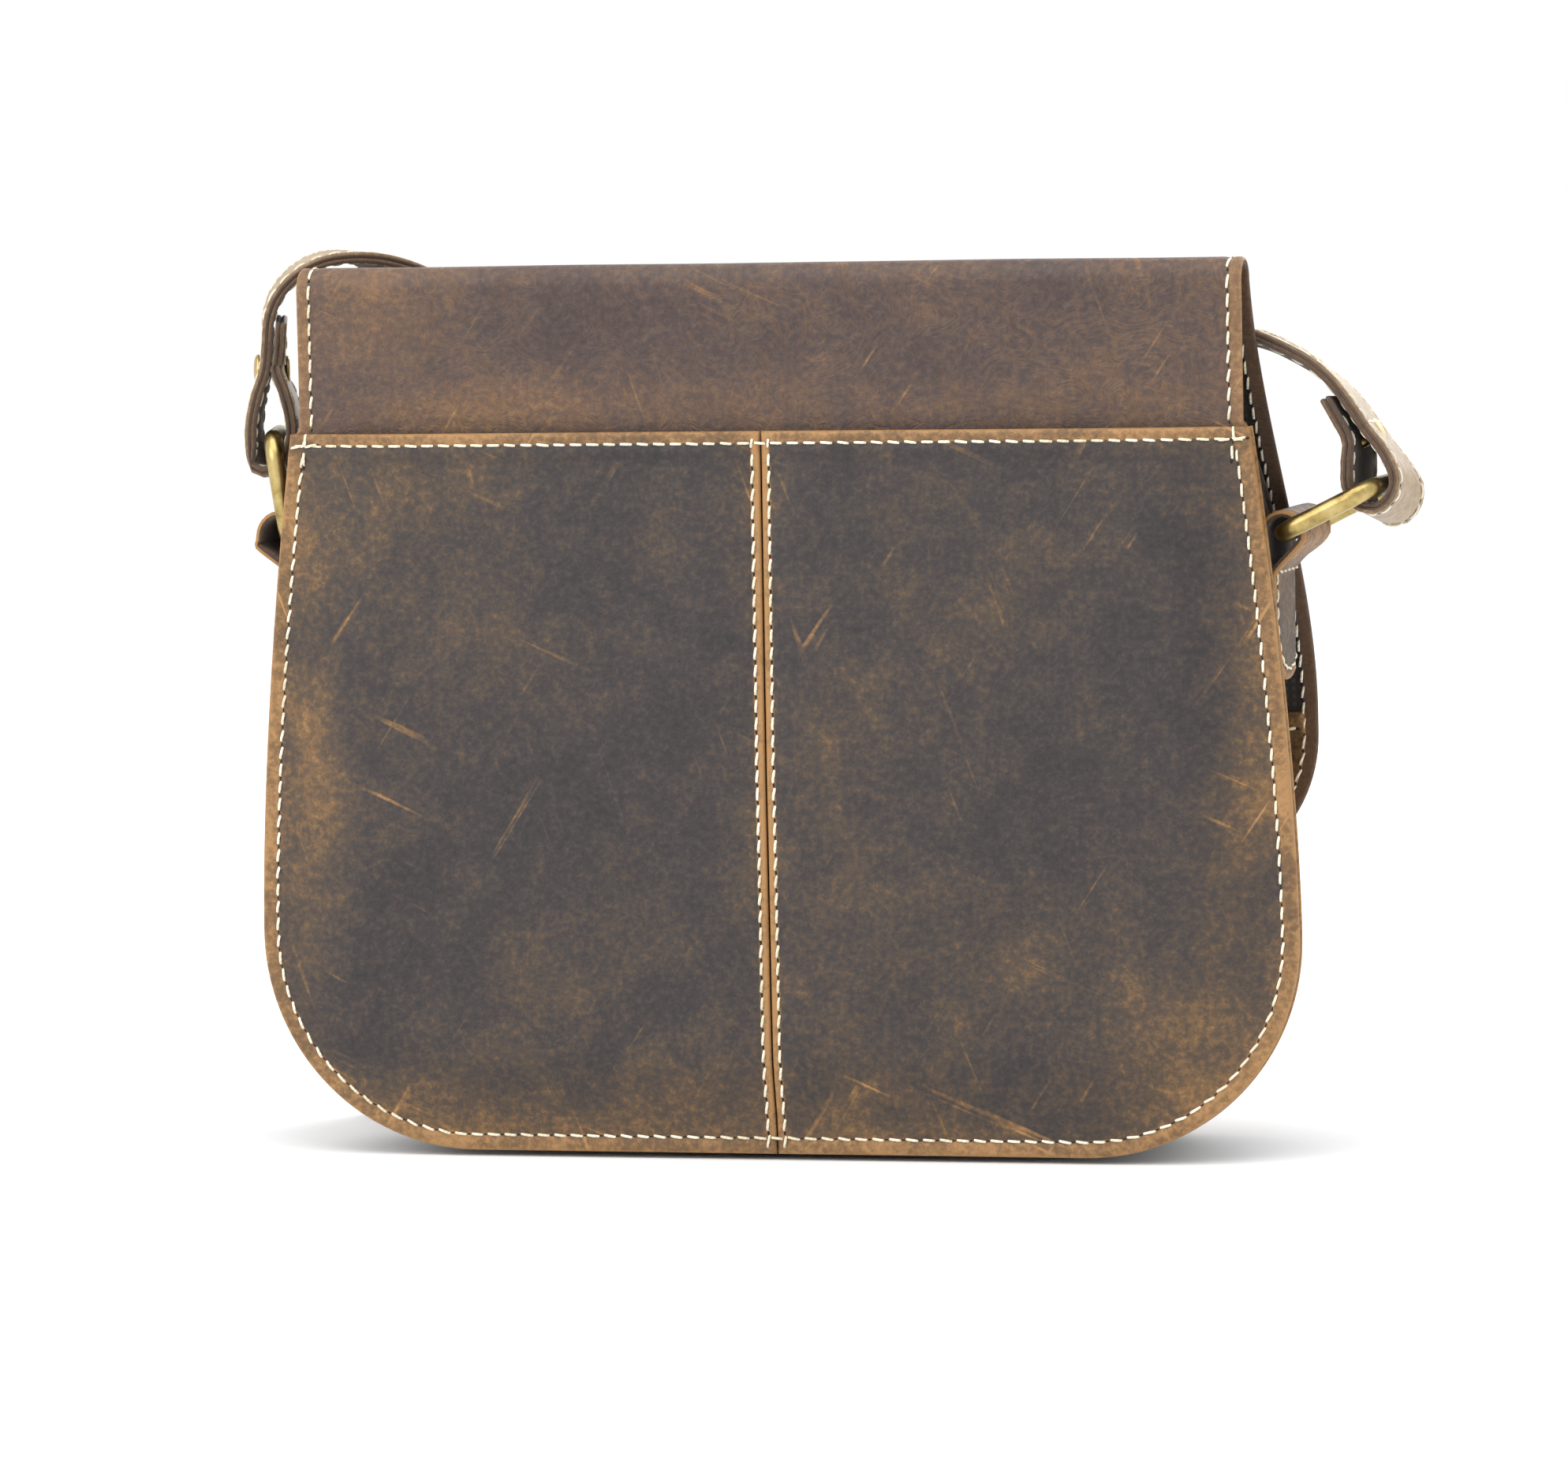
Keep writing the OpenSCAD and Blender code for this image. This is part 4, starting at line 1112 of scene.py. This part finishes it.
def make_tab(side, node, centre_x, turn, loop_r, loop_wall):
    """A strip that lies on the gusset, goes round the ring's bar and comes back under itself."""
    low, high = foot_of(node), top_of(node)
    wall_x = low.x if side > 0 else -high.x
    middle_y = (low.y + high.y) / 2
    radius = loop_r - loop_wall / 2
    centre_z = high.z - loop_r
    outer_x, inner_x = wall_x + 3.05, wall_x + 0.95
    flat_points = [(outer_x, TAB_BOTTOM), (outer_x, TAB_BOTTOM + 12), (outer_x + 0.1, centre_z - 14),
                   (outer_x + 0.6, centre_z - 10)]
    for a in range(-30, 181, 30):
        angle = math.radians(a)
        flat_points.append((centre_x + radius * math.cos(angle), centre_z + radius * math.sin(angle)))
    flat_points += [(inner_x, centre_z - 8), (inner_x, centre_z - 16), (inner_x, TAB_BOTTOM + 8)]
    line = spline([Vector((side * x, middle_y, z)) for x, z in flat_points], 5)
    across = []
    for p in line:
        share = smooth((p.z - centre_z + 10) / 6)
        across.append(Matrix.Rotation(math.radians(turn) * share, 3, "Z") @ Vector((0, 1, 0)))
    path = Path(line, across, normal_sign=-side)

    def place(u, v, h):
        p = path.place(u, v, h)
        return p.lerp(drawn_in(p), smooth((centre_z - 4 - p.z) / 10))

    half = STRAP_W / 2
    outline = [(half * math.sin(a), half - half * math.cos(a)) for a in steps(0, math.pi / 2, 0.12)]
    outline += [(half, v) for v in steps(half, path.length, 1.6)]
    outline += [(u, path.length) for u in steps(half, 0, 2.0)] + [(0.0, path.length)]
    tab = leaf(node + "_leather", mirrored(outline), place, 1.9, centre_line(14, path.length - 12),
               [GUSSET_LEATHER, FLESH], inset_max=7.0, inner=8, relief=seam_dip(3.0),
               wear=lambda u, v, d: 0.3 + 0.4 * bell(d, 0, 2.2) + 0.25 * bell(v, 42, 10))
    settle(tab, "body", "hide", node)
    edge = half - 3.0
    seam = [(edge, v) for v in steps(30, half, 2.0)]
    seam += [(edge * math.cos(a), half - edge * math.sin(a)) for a in steps(0, math.pi, 0.1)]
    seam += [(-edge, v) for v in steps(half, 30, 2.0)] + [(-edge, 30)]
    rows = [(seam, place, 0.75, 1), ([(-edge, 30), (edge, 30)], place, 0.8, 1)]
    sew(node + "_stitching", rows, "body")


# ---- strap ----

# Route points of the strap's two pieces: x, y, z, then the direction across the strap
BILLET_ROUTE = (
    (141.7, -25, 222, -0.31, 0.95, 0), (142.4, -25, 214, -0.31, 0.95, 0), (142.6, -25, 208, -0.29, 0.96, 0),
    (139.6, -24.1, 200, -0.27, 0.96, 0), (138.3, -24.1, 192, -0.26, 0.97, 0),
    (140.3, -24.1, 185, -0.26, 0.97, 0), (145.4, -24.1, 182.4, -0.26, 0.97, 0),
    (149.4, -24.1, 186, -0.26, 0.97, 0), (150, -24.1, 193, -0.26, 0.97, 0),
    (148.6, -24.1, 201, -0.27, 0.96, 0), (146.6, -25, 208, -0.29, 0.96, 0), (146, -25, 215, -0.31, 0.95, 0),
    (145.4, -25, 223, -0.33, 0.94, 0), (142.4, -26, 230, -0.35, 0.94, 0), (136, -29, 236, -0.38, 0.93, 0),
    (128, -33, 238.4, -0.45, 0.89, 0), (119, -38, 237, -0.6, 0.8, 0), (112, -44, 231, -0.8, 0.6, 0),
    (108, -50, 221, -0.94, 0.34, 0), (107, -55, 207, -1, 0.1, 0), (108, -59, 190, -1, 0, 0),
    (114, -64, 165, -1, 0, 0), (124, -70, 143, -1, 0, 0), (134, -75, 127, -1, 0, 0),
    (138.5, -79.5, 113, -1, 0, -0.11), (139.9, -84.2, 100, -1, 0, -0.11), (141.3, -84.2, 88, -1, 0, -0.11),
    (142.6, -82.4, 76, -1, 0, -0.11), (144.4, -81.6, 60, -1, 0, -0.1), (146.4, -81.4, 37.5, -1, 0, -0.05))

LONG_ROUTE = (
    (143.4, -77.6, 68, -1, 0, -0.11), (141.8, -77.7, 83, -1, 0, -0.11), (140.8, -79.3, 92, -1, 0, -0.11),
    (140.1, -81, 98, -1, 0, -0.11), (139.7, -80, 102.4, -1, 0, -0.11), (139.5, -77, 104, -1, 0, -0.11),
    (139.7, -74, 102.4, -1, 0, -0.11), (140.1, -73.1, 98, -1, 0, -0.11), (140.9, -73.8, 91, -1, 0, -0.11),
    (142, -74, 81, -1, 0, -0.11), (142.2, -74.2, 66, -1, 0, 0), (140, -74.8, 48, -0.98, 0, 0.2),
    (134.5, -75.6, 30, -0.94, 0, 0.34), (127, -78, 14, -0.93, 0, 0.36), (122, -84.5, 5, -0.97, 0, 0.2),
    (119.5, -95, 1.9, -1, 0, 0), (117, -118, 7.6, -0.94, 0, 0.34), (110, -142, 14.4, -0.64, 0, 0.77),
    (95, -161, 16.9, -0.2, 0, 0.98), (70, -173, 16.9, 0, 0, 1), (40, -178, 16.9, 0, 0, 1),
    (8, -177, 16.9, 0, 0, 1), (-18, -169, 16.9, 0, 0, 1), (-39, -156, 16.9, 0.2, 0, 0.98),
    (-52, -138, 14.4, 0.64, 0, 0.77), (-57.5, -117, 7.6, 0.94, 0, 0.34), (-59, -96, 1.9, 1, 0, 0),
    (-59.5, -85.5, 4.6, 1, 0, 0.1), (-61, -79, 13, 0.98, 0, 0.18), (-64.5, -76.8, 30, 0.98, 0, 0.2),
    (-72, -76, 65, 0.98, 0, 0.21), (-81, -75, 105, 0.98, 0, 0.21), (-88, -70, 138, 0.98, 0, 0.2),
    (-93.5, -62, 166, 0.99, 0, 0.17), (-98, -53, 190, 1, 0, 0.05), (-102, -45, 205, 0.94, 0.34, 0),
    (-109, -38.5, 212.5, 0.75, 0.66, 0), (-118.5, -36, 214.2, 0.45, 0.89, 0.05),
    (-129, -33.5, 211.8, 0.15, 0.97, 0.12), (-138, -28, 208.3, 0, 0.98, 0.18),
    (-144.8, -25.8, 205, 0, 0.98, 0.18), (-150.3, -25, 200.3, 0, 0.98, 0.18),
    (-154.8, -25, 194.5, 0, 0.98, 0.18), (-158.8, -25, 188.6, 0, 0.98, 0.18),
    (-163.6, -25, 182.2, 0, 0.98, 0.18), (-166.5, -25, 176, 0, 0.98, 0.16),
    (-165.4, -25, 170.6, 0, 0.98, 0.16), (-161.5, -25, 167.4, 0, 0.98, 0.16),
    (-156.8, -25, 168.8, 0, 0.98, 0.16), (-154.3, -25, 174, 0, 0.98, 0.16),
    (-154.2, -25, 180.3, 0, 0.98, 0.18), (-153.9, -25, 186, 0, 0.98, 0.18),
    (-150.8, -25, 192, 0, 0.98, 0.18), (-147.4, -25, 198, 0, 0.98, 0.18))


STRAP_SEAM = 3.2          # stitch line's distance from the strap's edge


def strap_path(route):
    line = spline([Vector(p[:3]) for p in route], 5)
    across = spline([Vector(p[3:]) for p in route], 5)
    return Path(line, across, normal_sign=-1)


def strip_outline(path, round_tip):
    """The strap laid flat; its far end is a half round or cut straight."""
    half = STRAP_W / 2
    outline = [(u, 0.0) for u in steps(0, half, 3.0)]
    outline += [(half, v) for v in steps(0, path.length, 2.2)]
    if round_tip:
        for a in steps(0, math.pi / 2, 0.1):
            outline.append((half * math.cos(a), path.length + half * math.sin(a)))
        end = path.length + half
    else:
        outline += [(u, path.length) for u in steps(half, 0, 3.0)]
        end = path.length
    return mirrored(outline + [(0.0, end)]), end


def frayed(place, amount):
    """A place function whose edges wander a little, as a rough cut does."""
    def moved(u, v, h):
        edge = smooth((abs(u) - STRAP_W / 2 + 2.5) / 2.5)
        wander = noise.noise(Vector((v / 2.3, u / 30, 4.4)))
        wander += 0.6 * noise.noise(Vector((v / 0.9, u / 30, 7.4)))
        return place(u + math.copysign(edge * amount * wander, u), v, h)
    return moved


def strap_wear(_u, _v, d):
    return 0.25 - 0.35 * bell(d, 0, 0.8) - 0.1 * bell(d, STRAP_SEAM, 1.0)


def make_strap(node, route, round_tip, cross_rows):
    """Two layers sewn along both edges: a smooth outer one and a rough one inside."""
    path = strap_path(route)
    outline, end = strip_outline(path, round_tip)
    spine = centre_line(12, end - 12)
    outer_layer = leaf(node + "_outer", outline, lambda u, v, h: path.place(u, v, h + 0.65), 1.7, spine,
                       [STRAP_LEATHER, FLESH], inset_max=7.0, inner=5, relief=seam_dip(STRAP_SEAM),
                       wear=strap_wear)
    inner_place = frayed(path.place, 0.45)
    inner_layer = leaf(node + "_inner", outline, lambda u, v, h: inner_place(u, v, h - 0.85), 1.3, spine,
                       [FLESH], inset_max=7.0, inner=5)
    for piece in (outer_layer, inner_layer):
        settle(piece, "body", "hide_light")
    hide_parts(node)
    edge = STRAP_W / 2 - STRAP_SEAM
    rows = []
    if round_tip:
        seam = [(edge, v) for v in steps(3, path.length, 2.5)]
        seam += [(edge * math.cos(a), path.length + edge * math.sin(a)) for a in steps(0, math.pi, 0.1)]
        seam += [(-edge, v) for v in steps(path.length, 3, 2.5)]
        rows.append((seam, path.place, 1.3, 1))
        rows.append((seam, path.place, 1.4, -1))
    else:
        for u in (edge, -edge):
            seam = [(u, v) for v in steps(3, path.length - 3, 2.5)]
            rows.append((seam, path.place, 1.3, 1))
            rows.append((seam, path.place, 1.4, -1))
    for v in cross_rows:
        rows.append(([(-edge, v), (edge, v)], path.place, 1.35, 1))
    sew(node + "_stitching", rows, "body", slant=6)
    return path


def make_straps():
    billet = make_strap("strap_billet", BILLET_ROUTE, True, (66.0,))
    long_piece = strap_path(LONG_ROUTE)
    make_strap("strap_long", LONG_ROUTE, False, (46.0, long_piece.length - 65))
    # dark discs of painted shade stand for the punched holes
    verts, faces = [], []
    for k in range(5):
        v = billet.length - 18 - 22 * k
        p, along, _, up = billet.at(v)
        lens(verts, faces, p + up * 1.5, along, up, 2.2, 2.2, 0.25)
    hole_shade_discs = make_object("strap_punched_hole_shades", verts, faces, [HOLE_SHADE])
    settle(hole_shade_discs, "body", "hide_light")


# ---- hardware ----

def lathe(name, profile, origin, axis, material, node, slot):
    """A turned piece: profile is a list of (distance along the axis, radius)."""
    sides = 40
    turn = Vector((1, 0, 0)).rotation_difference(Vector(axis)).to_matrix()
    verts, faces = [], []
    for x, r in profile:
        for k in range(sides):
            a = 2 * math.pi * k / sides
            verts.append(Vector(origin) + turn @ Vector((x, r * math.cos(a), r * math.sin(a))))
    for i in range(len(profile) - 1):
        for k in range(sides):
            a, b = i * sides + k, i * sides + (k + 1) % sides
            faces.append([a, b, b + sides, a + sides])
    faces.append(list(range(sides))[::-1])
    faces.append([(len(profile) - 1) * sides + k for k in range(sides)])
    piece = make_object(name, verts, faces, [material])
    face_outwards(piece)
    settle(piece, "body", slot, node)


def rivet_profile(grip, head_r=4.5):
    """A flat back, a post and a low dome whose rim is rolled."""
    profile = [(-0.9, 0.3), (-0.9, head_r - 0.9), (-0.5, head_r - 0.5), (0.0, head_r - 0.6), (0.02, 1.5),
               (grip - 0.02, 1.5), (grip, head_r - 0.2), (grip + 0.25, head_r), (grip + 0.55, head_r - 0.05)]
    for a in steps(0.25, math.pi / 2, 0.16):
        profile.append((grip + 0.55 + 1.15 * math.sin(a), (head_r - 0.1) * math.cos(a)))
    return profile + [(grip + 1.7, 0.2)]


def make_rivets():
    """Each rivet's node, the middle of its inner face, its direction and the thickness it holds."""
    turn, lean = math.radians(17), math.radians(26)
    rivets = (("left_strap_rivet", (141.1, -26.2, 208), (math.cos(turn), math.sin(turn), 0), 7.2),
              ("right_strap_rivet", (-152.6, -25, 184.9), (-math.cos(lean), 0, math.sin(lean)), 7.8),
              ("buckle_rivet", (141.3, -72.5, 86.5), (0, -1, 0), 7.2))
    for node, origin, axis, grip in rivets:
        lathe(node + "_dome", rivet_profile(grip), origin, axis, BRASS, node, "antique_brass")


def make_zip_teeth():
    """Two rows of teeth that mesh at the middle."""
    low, high = foot_of("zip_teeth"), top_of("zip_teeth")
    verts, faces = [], []
    pitch = 1.7
    for i in range(int((high.x - low.x) / pitch)):
        side = 1 if i % 2 else -1
        x = low.x + pitch * (i + 0.5)
        z = (low.z + high.z) / 2 + side * 0.7
        start = len(verts)
        section = ((-0.55, -1.1), (0.55, -1.1), (0.62, 0.5), (0.3, 1.2), (-0.3, 1.2), (-0.62, 0.5))
        for y in (low.y + 0.1, high.y):
            verts += [Vector((x + a, y, z - side * b)) for a, b in section]
        count = len(section)
        faces.append([start + k for k in range(count)])
        faces.append([start + count + k for k in reversed(range(count))])
        for k in range(count):
            j = (k + 1) % count
            faces.append([start + k, start + count + k, start + count + j, start + j])
    teeth = make_object("zip_teeth_rows", verts, faces, [BRASS], smooth_faces=False)
    face_outwards(teeth)
    edge = teeth.modifiers.new("soft_edges", "BEVEL")
    edge.width = 0.12 * MM
    edge.segments = 1
    settle(teeth, "body", "antique_brass", "zip_teeth")


def dress(node, material, bevel=0.0):
    """A CAD node that keeps its shape: a material, smooth round faces and, if asked, soft edges."""
    obj = nodes[node]
    obj.data.materials.clear()
    obj.data.materials.append(material)
    obj.data.polygons.foreach_set("use_smooth", [True] * len(obj.data.polygons))
    obj.data.set_sharp_from_angle(angle=math.radians(38))
    if bevel:
        edge = obj.modifiers.new("soft_edges", "BEVEL")
        edge.width = bevel * MM
        edge.segments = 3
        edge.limit_method = "ANGLE"
        edge.angle_limit = math.radians(40)
        edge.harden_normals = True


def dress_hardware():
    for node in ("left_ring", "right_ring", "buckle_frame", "buckle_prong", "snap_stud", "snap_socket"):
        dress(node, BRASS)
    for node in ("zip_slider", "zip_puller"):
        dress(node, BRASS, 0.25)
    for node in ("snap_stud_washer", "snap_socket_washer"):
        dress(node, STEEL)
    dress("strap_keeper", STRAP_SOLID, 0.35)
    dress("zip_welt", SOLID_LEATHER, 0.3)
    dress("zip_tape", TAPE, 0.1)
    dress("zip_pocket_bag", LINING, 0.3)


make_camera()
make_studio()
make_hide()
make_pocket()
make_front()
make_gusset()
make_flap_inner()
make_body_lining()
make_tab(1, "left_ring_tab", LEFT_PIVOT_X, 7.5, 7.2, 1.9)
make_tab(-1, "right_ring_tab", RIGHT_PIVOT_X, 0, 6.0, 1.7)
make_straps()
make_rivets()
make_zip_teeth()
dress_hardware()

bpy.context.view_layer.update()
